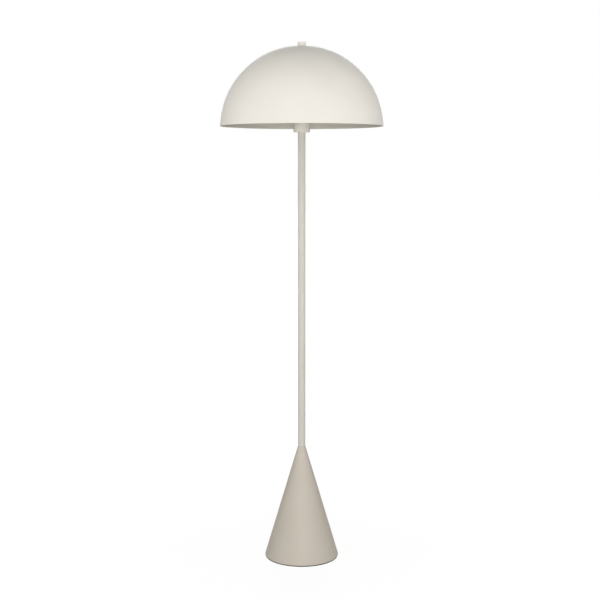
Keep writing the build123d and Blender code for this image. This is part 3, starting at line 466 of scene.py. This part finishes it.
def copies(surface, places):
    """Copies of a surface turned by an angle in radians and moved to each place, as one set of faces."""
    points, faces = surface
    moved, joined = [], []
    for x, y, a in places:
        turn = np.array([[cos(a), sin(a), 0], [-sin(a), cos(a), 0], [0, 0, 1]])
        joined += [[v + len(moved) * len(points) for v in face] for face in faces]
        moved.append(points @ turn + (x, y, 0))
    return np.vstack(moved), joined


def foam(name, low, high):
    """Closed-cell foam: a cut skin full of small cells."""
    material, shader = finish_of(name, Specular_IOR_Level=0.2)
    nodes, links = material.node_tree.nodes, material.node_tree.links
    bubbles = nodes.new("ShaderNodeTexVoronoi")
    bubbles.inputs["Scale"].default_value = 1 / FOAM_CELL
    links.new(nodes.new("ShaderNodeTexCoord").outputs["Object"], bubbles.inputs["Vector"])
    shade_between(material, shader, bubbles.outputs["Distance"], low, high)
    roughness_between(material, shader, noise(material, grain=6 * mm), 0.85, 0.95)
    raise_by(material, shader, bubbles.outputs["Distance"], height=0.15 * mm)
    return material


screw_low, screw_high = (corner.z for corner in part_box("cover_screws"))
head_round = (HEAD_R**2 + HEAD_CROWN**2) / (2 * HEAD_CROWN)  # radius of the crown over the head
head_edge = np.degrees(asin(HEAD_R / head_round))
screw_outline = np.vstack([
    arc((0, screw_low + head_round), head_round, -90, -90 + head_edge, 28),
    [[HEAD_R, screw_low + HEAD_H], [THREAD_R, screw_low + HEAD_H]],
    run((THREAD_R, screw_low + HEAD_H), (THREAD_R, screw_high - SCREW_PITCH), THREAD_ROWS)[1:],
    [[THREAD_R - SCREW_DEEP, screw_high], [0, screw_high]],
])
screw_places = [
    (SCREW_RING_R * cos(radians(angle)), SCREW_RING_R * sin(radians(angle)), turn)
    for angle, turn in zip(SCREW_ANGLES, SCREW_TURNS)
]
screws = copies(turned(screw_outline, columns=64, relief=screw_relief), screw_places)
piece("cover_screw_set", screws, zinc, "stand", "zinc_steel", "cover_screws")
coat(zinc, "base_cover")
coat(foam("dark_foam", (34, 34, 35), (70, 69, 68)), "base_pad")

# ---- Pole ----
# Two lengths of round steel tube with a 1.2 mm wall, powder coated before they are screwed together over
# a stud. Their end edges are just broken, so the joints show as hairlines. Tapped bushes are welded in.
TUBE_WALL = 1.2 * mm
TUBE_EDGE = 0.3 * mm
# The pole's tone is darker than the shade's paint: painted shade, for the lesser light it gets.
STEM_SHADED_TONE = (211, 207, 197)


def tube_outline(low, high):
    """The wall's section from end to end, with its two outer corners rounded."""
    inner_r = pole_r - TUBE_WALL
    return np.vstack([
        arc((pole_r - TUBE_EDGE, high - TUBE_EDGE), TUBE_EDGE, 90, 0, 5),
        arc((pole_r - TUBE_EDGE, low + TUBE_EDGE), TUBE_EDGE, 0, -90, 5),
        [[inner_r, low]],
        [[inner_r, high]],
    ])


# The tubes' coat takes that darker tone, which is painted shade.
stem_paint = powder_coat("stem_coat_painted_shade", STEM_SHADED_TONE, 0.5)
for length in ("pole_lower", "pole_upper"):
    low, high = (corner.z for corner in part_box(length))
    tube = turned(tube_outline(low, high), columns=112)
    piece(length + "_tube", tube, stem_paint, "stand", "stem_paint", length)
coat(zinc, "pole_foot_insert", "pole_joint_socket", "pole_joint_stud", "pole_head_insert", "head_nipple")

# ---- Cup ----
# A drawn steel cup with a soft bottom corner, clamped on the hollow nipple at the pole's top. It hides
# the lampholder, the harp's saddle and the nut that holds them.
CUP_SHEET = 1.2 * mm
CUP_BEND = 1.6 * mm
CUP_BORE_R = 5.3 * mm
# The cup's tone is lighter than the pole's: painted light, which makes up for the dome's shadow over it.
CUP_LIT_TONE = (230, 226, 215)
cup_low, cup_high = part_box("socket_cup")
cup_r = cup_high.x


def cup_outline():
    """Outer corner and inner corner are arcs about one centre, and the rim is a half circle."""
    bend = (cup_r - CUP_BEND, cup_low.z + CUP_BEND)
    rim = (cup_r - CUP_SHEET / 2, cup_high.z - CUP_SHEET / 2)
    return np.vstack([
        [[CUP_BORE_R, cup_low.z]],
        arc(bend, CUP_BEND, -90, 0, 10),
        arc(rim, CUP_SHEET / 2, 0, 180, 10),
        arc(bend, CUP_BEND - CUP_SHEET, 0, -90, 6),
        [[CUP_BORE_R, cup_low.z + CUP_SHEET]],
    ])


# The cup's coat takes that lighter tone, which is painted light.
cup_lit_coat = powder_coat("cup_coat_painted_light", CUP_LIT_TONE, 0.5)
cup = turned(cup_outline(), columns=144)
piece("cup_shell", cup, cup_lit_coat, "stand", "stem_paint", "socket_cup")
coat(zinc, "harp_saddle", "saddle_lock_washer", "saddle_nut")

# ---- Lampholder ----
# A moulded cap screwed on the nipple and a glazed ceramic body on it. In the body sits a brass shell with
# the round thread that a lamp screws into, over a sprung centre contact; brass clamps take the cores.
LAMP_PITCH = 25.4 / 7 * mm  # seven turns to the inch
LAMP_THREAD = 1.0 * mm  # from root to crest
LAMP_RUN_OUT = 1.0 * mm  # the thread fades over this length at its top
SHELL_MID_R = 13.05 * mm
SHELL_SHEET = 0.35 * mm
SHELL_LIP_R = 10.0 * mm
SHELL_CORNER = 1.0 * mm
SHELL_FADE = 2.0 * mm
SHELL_ROWS = 96
shell_low, shell_high = (corner.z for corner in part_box("lampholder_shell"))


def rolled(z, a, start, end, fade):
    """A rolled lamp thread, LAMP_THREAD / 2 cos(2 pi z / pitch - a) about the sheet, run out at its ends."""
    here = np.clip((z - start) / fade, 0, 1) * np.clip((end - z) / LAMP_RUN_OUT, 0, 1)
    return here * LAMP_THREAD / 2 * np.cos(2 * pi * z / LAMP_PITCH - a)


def shell_relief(r, z, a):
    """The sheet follows the thread on both faces, right up to its cut edge."""
    depth = rolled(z, a, shell_low + SHELL_CORNER, shell_high + SHELL_FADE, SHELL_FADE)
    return depth * (r > SHELL_MID_R - SHELL_CORNER), 0


def shell_outline():
    """A tube with a rounded corner at its bottom and a flat lip turned inwards from it."""
    corner = (SHELL_MID_R - SHELL_CORNER, shell_low + SHELL_CORNER + SHELL_SHEET)
    top = shell_high - SHELL_SHEET / 2
    return np.vstack([
        [[SHELL_LIP_R, shell_low]],
        arc(corner, SHELL_CORNER + SHELL_SHEET, -90, 0, 8),
        run((SHELL_MID_R + SHELL_SHEET, corner[1]), (SHELL_MID_R + SHELL_SHEET, top), SHELL_ROWS)[1:],
        arc((SHELL_MID_R + SHELL_SHEET / 2, top), SHELL_SHEET / 2, 0, 180, 6),
        run((SHELL_MID_R, top), (SHELL_MID_R, corner[1]), SHELL_ROWS)[1:],
        arc(corner, SHELL_CORNER, 0, -90, 8),
        [[SHELL_LIP_R, shell_low + SHELL_SHEET]],
    ])


def glazed(name, colour):
    """Glazed ceramic: milky under a thin clear glaze that pulls into soft waves."""
    material, shader = finish_of(name, Coat_Weight=0.6, Coat_Roughness=0.08)
    milk = noise(material, grain=10 * mm)
    gloss = noise(material, grain=4 * mm)
    waves = noise(material, grain=5 * mm, detail=1.0)
    shade_between(material, shader, milk, [c - 5 for c in colour], colour)
    roughness_between(material, shader, gloss, 0.3, 0.42)
    raise_by(material, shader, waves, height=0.06 * mm)
    return material


coat(moulded("holder_moulding", (58, 56, 54), 0.5), "lampholder_cap")
coat(glazed("glazed_ceramic", (228, 226, 218)), "lampholder_body")
coat(brass, "lampholder_contact", "lampholder_rivets", "lampholder_pillars", "lampholder_screws")
shell = turned(shell_outline(), relief=shell_relief)
piece("screw_shell", shell, brass, "stand", "brass", "lampholder_shell")

# ---- Harp ----
# Two arms of 3 mm steel wire, welded to the saddle's ears, bowed out round the lamp and brazed into the
# crown's hub with a small fillet. They are powder coated with the hub and the dish above it.
WIRE_R = 1.5 * mm
WIRE_STEP = 2.0 * mm
ARM_X = 19.4  # this, the route above the arm's foot and the bends' radii are in mm
ARM_ROUTE = ((ARM_X, 1360), (55, 1400), (55, 1456), (40, 1518), (5, 1518))
ARM_BENDS = (30, 45, 120, 25)
HUB_R = 8.0 * mm
BRAZE_R = 1.3 * mm  # the fillet stands this far off the wire where it meets the hub
BRAZE_L = 2.0 * mm
BRAZE_IN_HUB = 0.5 * mm
HARP_PAINT = (214, 210, 200)


def bent(corners, bends, step):
    """Points every step or so along straight runs joined by tangent arcs, in the x-z plane.

    At a corner that turns by t, an arc of radius b starts b tan(t / 2) before the corner, and its centre
    lies b to that side of the run. Every arc has four steps or more.
    """
    corners = np.asarray(corners, float)
    path = [corners[:1]]
    for before, corner, after, bend in zip(corners, corners[1:], corners[2:], bends):
        along, on = corner - before, after - corner
        along, on = along / np.linalg.norm(along), on / np.linalg.norm(on)
        turn = atan2(along[0] * on[1] - along[1] * on[0], along @ on)
        start = corner - along * bend * tan(abs(turn) / 2)
        side = np.array([-along[1], along[0]]) * np.sign(turn)
        centre = start + side * bend
        facing = np.degrees(atan2(*(start - centre)[::-1]))
        steps = max(4, round(bend * abs(turn) / step))
        straight = run(path[-1][-1], start, max(1, round(np.linalg.norm(start - path[-1][-1]) / step)))
        path += [straight[1:], arc(centre, bend, facing, facing + np.degrees(turn), steps)[1:]]
    last_run = np.linalg.norm(corners[-1] - path[-1][-1])
    path.append(run(path[-1][-1], corners[-1], round(last_run / step))[1:])
    return np.vstack(path)


def wire(path, radii, columns=24):
    """Rings of points p + r (cos b n + sin b y) round a path in the x-z plane, with n square to the path."""
    ahead = np.gradient(path, axis=0)
    ahead /= np.linalg.norm(ahead, axis=1)[:, None]
    normal = np.stack([ahead[:, 1], np.zeros(len(path)), -ahead[:, 0]], 1)
    b = np.linspace(0, 2 * pi, columns, endpoint=False)
    centre = np.stack([path[:, 0], np.zeros(len(path)), path[:, 1]], 1)
    around = np.cos(b)[None, :, None] * normal[:, None] + np.sin(b)[None, :, None] * np.array([0, 1.0, 0])
    rings = centre[:, None] + radii[:, None, None] * around
    points = np.vstack([rings.reshape(-1, 3), centre[:1], centre[-1:]])
    side = cells(len(path), columns).reshape(-1, 4)[:, ::-1]
    ring = np.arange(columns)
    following = (ring + 1) % columns
    foot, tip = len(points) - 2, len(points) - 1
    last_ring = foot - columns
    foot_fan = np.stack([np.full(columns, foot), following, ring], 1)
    tip_fan = np.stack([np.full(columns, tip), last_ring + ring, last_ring + following], 1)
    return points, side.tolist() + foot_fan.tolist() + tip_fan.tolist()


arm_foot = (ARM_X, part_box("harp_right")[0].z / mm)
arm_path = bent(np.array([arm_foot, *ARM_ROUTE]) * mm, np.array(ARM_BENDS) * mm, WIRE_STEP)
reach, height = arm_path.T
off_hub = np.clip((reach - HUB_R) / BRAZE_L, 0, 1)
at_hub = (height > height[-1] - WIRE_R) * (reach > HUB_R - BRAZE_IN_HUB)
arm_points, arm_faces = wire(arm_path, WIRE_R + BRAZE_R * (1 - off_hub) ** 2 * at_hub)
harp_paint = powder_coat("harp_powder_coat", HARP_PAINT, 0.5)
piece("harp_arm_right", (arm_points, arm_faces), harp_paint, "stand", "harp_paint", "harp_right")
other_arm = (arm_points * (-1, 1, 1), [face[::-1] for face in arm_faces])
piece("harp_arm_left", other_arm, harp_paint, "stand", "harp_paint", "harp_left")

# ---- Crown ----
# The hub carries a headless stud with a metric thread, and a pressed dish under the dome keeps it level.
# A clear fibre washer lies on the dish, and another under the knob, so that the paint isn't marked.
STUD_PITCH = 1.25 * mm
STUD_DEEP = 0.65 * mm
STUD_CHAMFER = 0.7 * mm
STUD_ROWS = 210
stud_low, stud_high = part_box("crown_stud")
stud_r = stud_high.x


def stud_relief(r, z, a):
    """The thread is cut into the stud all the way up."""
    cut = thread(z, a, STUD_PITCH, STUD_DEEP, stud_low.z, stud_high.z, STUD_PITCH)
    return -cut * (r > stud_r - HAIR), 0


stud_outline = np.vstack([
    [[0, stud_high.z], [stud_r - STUD_CHAMFER, stud_high.z]],
    run((stud_r, stud_high.z - STUD_CHAMFER), (stud_r, stud_low.z + STUD_CHAMFER), STUD_ROWS),
    [[stud_r - STUD_CHAMFER, stud_low.z], [0, stud_low.z]],
])
fibre = moulded("clear_fibre", (214, 210, 196), 0.35, Transmission_Weight=0.35)
stud = turned(stud_outline, columns=56, relief=stud_relief)
piece("threaded_stud", stud, zinc, "stand", "zinc_steel", "crown_stud")
coat(harp_paint, "crown_hub", "crown_dish")
coat(fibre, "crown_gasket", "finial_washer")

# ---- Shade ----
# A dome spun from 0.8 mm sheet, powder coated inside and out: a flat seat pressed in its crown, a round
# wall that bends a little tighter over the crown, and a short straight flare down to a folded rim.
DOME_R = 239.0 * mm
DOME_SHEET = 0.8 * mm
CROWN_R = 221.0 * mm
CROWN_REACH = 28.8  # degrees from the axis to where the tighter bend ends
SEAT_R = 16.0 * mm
SEAT_HOLE_R = 4.5 * mm
FLARE = radians(7.3)
HEM_H = 6.0 * mm
HEM_GAP = 0.15 * mm  # the folded edge stands this far off the wall
HEM_GAP_DEEP = 1.5 * mm
HEM_EDGE = 0.3 * mm
CROWN_STEPS = 28
WALL_STEPS = 60
SHADE_PAINT = (232, 228, 220)
# The inside's tone is darker than the outside's: painted shade, for the shade inside the dome.
INNER_SHADED_TONE = (204, 200, 191)
dome_low, dome_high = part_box("shade_dome")
meeting_out = np.array([sin(radians(CROWN_REACH)), cos(radians(CROWN_REACH))])
to_crown = meeting_out * (DOME_R - CROWN_R)
crown_centre = np.array([to_crown[0], dome_high.z - sqrt(CROWN_R**2 - (SEAT_R - to_crown[0]) ** 2)])
dome_centre = crown_centre - to_crown


def dome_outline():
    """Seat, arcs of crown and dome, straight flare, half circle of the fold, and the same way back inside.

    The crown's arc ends on the seat's edge. Its centre and the dome's are in line with the point where the
    two arcs meet, so they share a tangent there, and the flare leaves the dome's arc on its tangent too.
    """
    outward = np.array([cos(FLARE), sin(FLARE)])
    down = np.array([sin(FLARE), -cos(FLARE)])
    flare_top = dome_centre + outward * DOME_R
    length = (flare_top[1] - dome_low.z - DOME_SHEET) / cos(FLARE)

    def at(depth, along):
        """A point this deep under the outside of the flare and this far down it."""
        return flare_top - outward * depth + down * along

    inner_r = CROWN_R - DOME_SHEET
    seat_low = dome_high.z - DOME_SHEET
    seat_angle = np.degrees(asin((dome_high.z - crown_centre[1]) / CROWN_R))
    inner_angle = np.degrees(asin((seat_low - crown_centre[1]) / inner_r))
    meeting = 90 - CROWN_REACH
    flare_angle = np.degrees(FLARE)
    flap_top = length - HEM_H
    fold = arc(at(DOME_SHEET, length), DOME_SHEET, flare_angle, flare_angle - 180, 12)
    edge_centre = at(2 * DOME_SHEET - HEM_EDGE, flap_top + HEM_EDGE)
    flap_edge = arc(edge_centre, HEM_EDGE, flare_angle + 180, flare_angle + 90, 5)
    return np.vstack([
        [[SEAT_HOLE_R, dome_high.z]],
        arc(crown_centre, CROWN_R, seat_angle, meeting, CROWN_STEPS),
        arc(dome_centre, DOME_R, meeting, flare_angle, WALL_STEPS),
        fold,
        flap_edge,
        [at(DOME_SHEET + HEM_GAP, flap_top), at(DOME_SHEET + HEM_GAP / 2, flap_top + HEM_GAP_DEEP)],
        [at(DOME_SHEET, flap_top)],
        arc(dome_centre, DOME_R - DOME_SHEET, flare_angle, meeting, WALL_STEPS),
        arc(crown_centre, inner_r, meeting, inner_angle, CROWN_STEPS),
        [[SEAT_HOLE_R, seat_low]],
    ])


def coat_inside(shape, centre, material):
    """Gives a material of their own to the faces that face a point: where normal . (middle - centre) < 0."""
    faces = shape.data.polygons
    middle, normal = np.empty(len(faces) * 3), np.empty(len(faces) * 3)
    faces.foreach_get("center", middle)
    faces.foreach_get("normal", normal)
    outward = np.sum((middle.reshape(-1, 3) - centre) * normal.reshape(-1, 3), axis=1)
    shape.data.materials.append(material)
    faces.foreach_set("material_index", (outward < 0).astype(np.int32))


shade_paint = powder_coat("shade_powder_coat", SHADE_PAINT, 0.55)
dome = turned(dome_outline(), columns=256)
shade = piece("shade_shell", dome, shade_paint, "shade", "shade_paint", "shade_dome")
# The inside faces take that darker tone, which is painted shade.
coat_inside(shade, (0, 0, dome_centre[1]), powder_coat("inner_coat_painted_shade", INNER_SHADED_TONE, 0.6))

# ---- Knob ----
# A turned steel knob with a softened top edge, coated with the shade. Its blind hole is tapped to match
# the stud, and six turns take it off.
KNOB_TOP_EDGE = 1.2 * mm
KNOB_FOOT_EDGE = 0.5 * mm
KNOB_CROWN = 0.2 * mm
KNOB_BORE_R = 4.08 * mm
KNOB_BORE_UP = 0.6 * mm  # how far the bore goes on over the stud's end
KNOB_RUN_OUT = 1.0 * mm  # the groove fades over this length at its top
KNOB_ROWS = 72
knob_low, knob_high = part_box("finial")
knob_r = knob_high.x


def knob_relief(r, z, a):
    """The tapped hole's groove is opposite the stud's crest."""
    start, end = knob_low.z - KNOB_RUN_OUT, stud_high.z + KNOB_RUN_OUT
    cut = STUD_DEEP - thread(z, a, STUD_PITCH, STUD_DEEP, start, end, KNOB_RUN_OUT)
    on_bore = np.abs(r - KNOB_BORE_R) < HAIR
    return cut * on_bore * np.clip((stud_high.z - z) / KNOB_RUN_OUT, 0, 1), 0


def knob_outline():
    """A crowned top, an arc at each outer corner, and a blind bore."""
    crown_r = (knob_r**2 + KNOB_CROWN**2) / (2 * KNOB_CROWN)
    reach = np.degrees(asin((knob_r - KNOB_TOP_EDGE) / crown_r))
    shoulder = knob_high.z - KNOB_CROWN - KNOB_TOP_EDGE
    bore_top = stud_high.z + KNOB_BORE_UP
    return np.vstack([
        arc((0, knob_high.z - crown_r), crown_r, 90, 90 - reach, 10),
        arc((knob_r - KNOB_TOP_EDGE, shoulder), KNOB_TOP_EDGE, 88, 0, 8),
        arc((knob_r - KNOB_FOOT_EDGE, knob_low.z + KNOB_FOOT_EDGE), KNOB_FOOT_EDGE, 0, -90, 6),
        run((KNOB_BORE_R, knob_low.z), (KNOB_BORE_R, stud_high.z), KNOB_ROWS),
        [[KNOB_BORE_R, bore_top], [0, bore_top]],
    ])


knob = turned(knob_outline(), columns=112, relief=knob_relief)
piece("screw_knob", knob, shade_paint, "finial", "shade_paint", "finial")

# ---- Lamp: cap and contact ----
# The lamp that is screwed in: a plated sheet cap with a rolled thread, a black glass cone under it and
# a dome of solder on its tip.
CAP_MID_R = 12.65 * mm
CAP_SHEET = 0.4 * mm
CAP_FOOT_R = 11.55 * mm
CAP_FOOT_H = 1.6 * mm
CAP_SKIRT_H = 2.6 * mm
CAP_ROWS = 90
cap_low, cap_high = (corner.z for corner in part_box("bulb_cap"))


def cap_relief(r, z, a):
    """Both faces of the sheet follow the thread, which fades out under the plain skirt."""
    depth = rolled(z, a, cap_low + CAP_FOOT_H / 2, cap_high - CAP_SKIRT_H, CAP_FOOT_H)
    return depth * (r > CAP_FOOT_R + CAP_SHEET), 0


def cap_outline():
    """A cup of sheet: a flat bottom, a sloping foot and a straight side."""
    inner_r = CAP_MID_R - CAP_SHEET
    foot = cap_low + CAP_FOOT_H
    return np.vstack([
        [[0, cap_low], [CAP_FOOT_R, cap_low]],
        run((CAP_MID_R, foot), (CAP_MID_R, cap_high), CAP_ROWS),
        run((inner_r, cap_high), (inner_r, foot), CAP_ROWS),
        [[CAP_FOOT_R - CAP_SHEET / 2, cap_low + CAP_SHEET], [0, cap_low + CAP_SHEET]],
    ])


nickel = plated("nickel_plate", (196, 193, 184), (212, 209, 200), 0.26)
cap = turned(cap_outline(), relief=cap_relief)
piece("lamp_cap", cap, nickel, "bulb", "bulb_plated_cap", "bulb_cap")
coat(moulded("black_glass", (26, 26, 30), 0.14), "bulb_insulator")
coat(plated("soft_solder", (168, 170, 172), (190, 192, 194), 0.42), "bulb_contact")

# ---- Lamp: driver, housing and globe ----
# A white moulded housing flares from the cap to the globe. Inside it stand the driver board and, across
# its mouth, an aluminium board with a ring of diodes. The globe is opal plastic, welded on the rim.
HOUSING_WALL = 1.4 * mm
HOUSING_NECK_R = 12.15 * mm
HOUSING_NECK_H = 2.2 * mm
HOUSING_FOOT_R = 14.2 * mm
HOUSING_PULL = (14.6, 16.0, 21.5, 27.0)  # the two middle points of its curve: radius and height, in mm
GLOBE_WALL = 1.4 * mm
WELD_GAP = 0.25 * mm  # the groove between the housing's rim and the globe
HOUSING_STEPS = 40
GLOBE_STEPS = 60
globe_low, globe_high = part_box("bulb_diffuser")
globe_r = globe_high.x
globe_centre = (0, globe_high.z - globe_r)


def bow(first, second, third, last, steps):
    """A cubic curve: (1-t)^3 a + 3 t (1-t)^2 b + 3 t^2 (1-t) c + t^3 d."""
    t = np.linspace(0, 1, steps + 1)[:, None]
    a, b, c, d = (np.asarray(p, float) for p in (first, second, third, last))
    return (1 - t) ** 3 * a + 3 * t * (1 - t) ** 2 * b + 3 * t**2 * (1 - t) * c + t**3 * d


def housing_outline():
    """The outer curve, the same curve a wall's thickness in, and a neck that goes down into the cap."""
    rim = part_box("bulb_housing")[1]
    pull = np.array(HOUSING_PULL).reshape(2, 2) * mm + (0, cap_high)
    outer = bow((HOUSING_FOOT_R, cap_high), *pull, (rim.x, rim.z - WELD_GAP), HOUSING_STEPS)
    inner = outer - (HOUSING_WALL, 0)
    neck = cap_high - HOUSING_NECK_H
    return np.vstack([
        outer,
        inner[::-1],
        [[HOUSING_NECK_R - HOUSING_WALL, cap_high], [HOUSING_NECK_R - HOUSING_WALL, neck]],
        [[HOUSING_NECK_R, neck], [HOUSING_NECK_R, cap_high]],
    ])


def globe_outline():
    """Most of a circle outside, and the same inside."""
    cut = np.degrees(asin((globe_low.z - globe_centre[1]) / globe_r))
    inner_r = globe_r - GLOBE_WALL
    inner_cut = np.degrees(asin((globe_low.z - globe_centre[1]) / inner_r))
    outer = arc(globe_centre, globe_r, 90, cut, GLOBE_STEPS)
    return np.vstack([outer, arc(globe_centre, inner_r, inner_cut, 90, GLOBE_STEPS)])


white_plastic = moulded("white_plastic", (234, 233, 228), 0.38)
opal = moulded("opal_plastic", (243, 242, 236), 0.34)
housing = turned(housing_outline(), columns=128)
piece("lamp_housing", housing, white_plastic, "bulb", "bulb_white_plastic", "bulb_housing")
globe = turned(globe_outline(), columns=128)
piece("opal_globe", globe, opal, "bulb", "bulb_opal", "bulb_diffuser")
coat(moulded("driver_circuit", (38, 92, 62), 0.4), "bulb_driver")
coat(moulded("diode_board", (232, 230, 214), 0.35), "bulb_led_board")

# ---- Floor, light and camera ----
# A pale floor and a white surround. The tall soft lamp in front is the main light, with a weaker one over
# it. One at each side and a wide one behind keep the other views readable.
FLOOR_SIZE = 60.0
FLOOR_TINT = (222, 221, 219)
SHADOW_SHARE = 0.12  # how much of the floor that the camera sees is its own shaded colour
FLOOR_GLOW = 1.06  # strength of the rest, which brings the floor out of the shadow up to white
SHADOW_FADE = (0.2, 1.4)  # metres from the lamp's axis between which that share fades to nothing
AMBIENT = 0.2
LAMPS = {  # where it is, where it points, its width and height in metres, and its power in watts
    "front_lamp": ((0.0, -4.6, 0.85), (0.0, 0.0, 1.0), (0.8, 1.6), 101.0),
    "high_lamp": ((0.0, -2.0, 3.0), (0.0, 0.0, 1.2), (1.2, 1.2), 13.0),
    "left_lamp": ((-1.5, -0.6, 1.5), (0.0, 0.0, 1.35), (1.0, 1.0), 7.2),
    "right_lamp": ((1.5, -0.6, 1.5), (0.0, 0.0, 1.35), (1.0, 1.0), 7.2),
    "rear_lamp": ((0.0, 3.6, 1.9), (0.0, 0.0, 1.0), (2.4, 2.4), 70.0),
}
CAMERA_AT = (0.0, -3.360, 1.173)
CAMERA_PITCH = radians(6.57)
CAMERA_YAW = radians(0.086)
CAMERA_LENS = 67.87  # in mm, on a sensor of the width below
CAMERA_SENSOR = 36.0


def seen_directly(tree):
    """1 on rays from the camera and on the glossy and see-through rays that go on from them, else 0."""
    path = tree.nodes.new("ShaderNodeLightPath")
    total = path.outputs["Is Camera Ray"]
    for ray in ("Is Glossy Ray", "Is Transmission Ray"):
        either = tree.nodes.new("ShaderNodeMath")
        either.operation = "MAXIMUM"
        tree.links.new(total, either.inputs[0])
        tree.links.new(path.outputs[ray], either.inputs[1])
        total = either.outputs[0]
    return total


def white_surround():
    """A world that looks plain white and lights the lamp evenly with less than that."""
    world = bpy.data.worlds.new("surround")
    world.use_nodes = True
    tree = world.node_tree
    ambient = tree.nodes["Background"]
    ambient.inputs["Color"].default_value = (1.0, 1.0, 1.0, 1.0)
    ambient.inputs["Strength"].default_value = AMBIENT
    white = tree.nodes.new("ShaderNodeBackground")
    white.inputs["Color"].default_value = (1.0, 1.0, 1.0, 1.0)
    mix = tree.nodes.new("ShaderNodeMixShader")
    tree.links.new(seen_directly(tree), mix.inputs["Fac"])
    tree.links.new(ambient.outputs[0], mix.inputs[1])
    tree.links.new(white.outputs[0], mix.inputs[2])
    tree.links.new(mix.outputs[0], tree.nodes["World Output"].inputs["Surface"])
    bpy.context.scene.world = world


def floor_finish():
    """Pale matt floor that looks white but keeps the lamp's shadow, and can't be seen from below."""
    material = bpy.data.materials.new("floor")
    material.use_nodes = True
    tree = material.node_tree
    nodes, links = tree.nodes, tree.links
    nodes.clear()
    matt = nodes.new("ShaderNodeBsdfDiffuse")
    matt.inputs["Color"].default_value = tint(*FLOOR_TINT)
    white = nodes.new("ShaderNodeEmission")
    white.inputs["Strength"].default_value = FLOOR_GLOW
    distance = nodes.new("ShaderNodeVectorMath")
    distance.operation = "LENGTH"
    links.new(nodes.new("ShaderNodeTexCoord").outputs["Object"], distance.inputs[0])
    fade = nodes.new("ShaderNodeMapRange")
    fade.interpolation_type = "SMOOTHSTEP"
    near_far = (*SHADOW_FADE, 1 - SHADOW_SHARE, 1)
    for socket, value in zip(("From Min", "From Max", "To Min", "To Max"), near_far):
        fade.inputs[socket].default_value = value
    links.new(distance.outputs["Value"], fade.inputs["Value"])
    share = nodes.new("ShaderNodeMath")
    share.operation = "MULTIPLY"
    links.new(fade.outputs["Result"], share.inputs[0])
    links.new(seen_directly(tree), share.inputs[1])
    lit = nodes.new("ShaderNodeMixShader")
    links.new(share.outputs[0], lit.inputs["Fac"])
    links.new(matt.outputs[0], lit.inputs[1])
    links.new(white.outputs[0], lit.inputs[2])
    one_sided = nodes.new("ShaderNodeMixShader")
    links.new(nodes.new("ShaderNodeNewGeometry").outputs["Backfacing"], one_sided.inputs["Fac"])
    links.new(lit.outputs[0], one_sided.inputs[1])
    links.new(nodes.new("ShaderNodeBsdfTransparent").outputs[0], one_sided.inputs[2])
    links.new(one_sided.outputs[0], nodes.new("ShaderNodeOutputMaterial").inputs["Surface"])
    return material


def soft_lamp(name, at, towards, size, power):
    """A soft box that the camera doesn't see."""
    light = bpy.data.lights.new(name, "AREA")
    light.energy = power
    light.shape = "RECTANGLE"
    light.size, light.size_y = size
    lamp = bpy.data.objects.new(name, light)
    bpy.context.scene.collection.objects.link(lamp)
    lamp.location = at
    lamp.rotation_euler = (Vector(towards) - Vector(at)).to_track_quat("-Z", "Y").to_euler()
    lamp.visible_camera = False


white_surround()
half = FLOOR_SIZE / 2
floor_corners = [(-half, -half, 0), (half, -half, 0), (half, half, 0), (-half, half, 0)]
floor_mesh = bpy.data.meshes.new("floor")
floor_mesh.from_pydata(floor_corners, [], [(0, 1, 2, 3)])
floor_mesh.materials.append(floor_finish())
floor = bpy.data.objects.new("floor", floor_mesh)
bpy.context.scene.collection.objects.link(floor)
for name, lamp in LAMPS.items():
    soft_lamp(name, *lamp)

camera = bpy.data.objects.new("camera", bpy.data.cameras.new("camera"))
bpy.context.scene.collection.objects.link(camera)
camera.location = CAMERA_AT
camera.rotation_euler = (pi / 2 - CAMERA_PITCH, 0, CAMERA_YAW)
camera.data.lens = CAMERA_LENS
camera.data.sensor_width = CAMERA_SENSOR
bpy.context.scene.camera = camera
bpy.context.scene.view_settings.view_transform = "Standard"
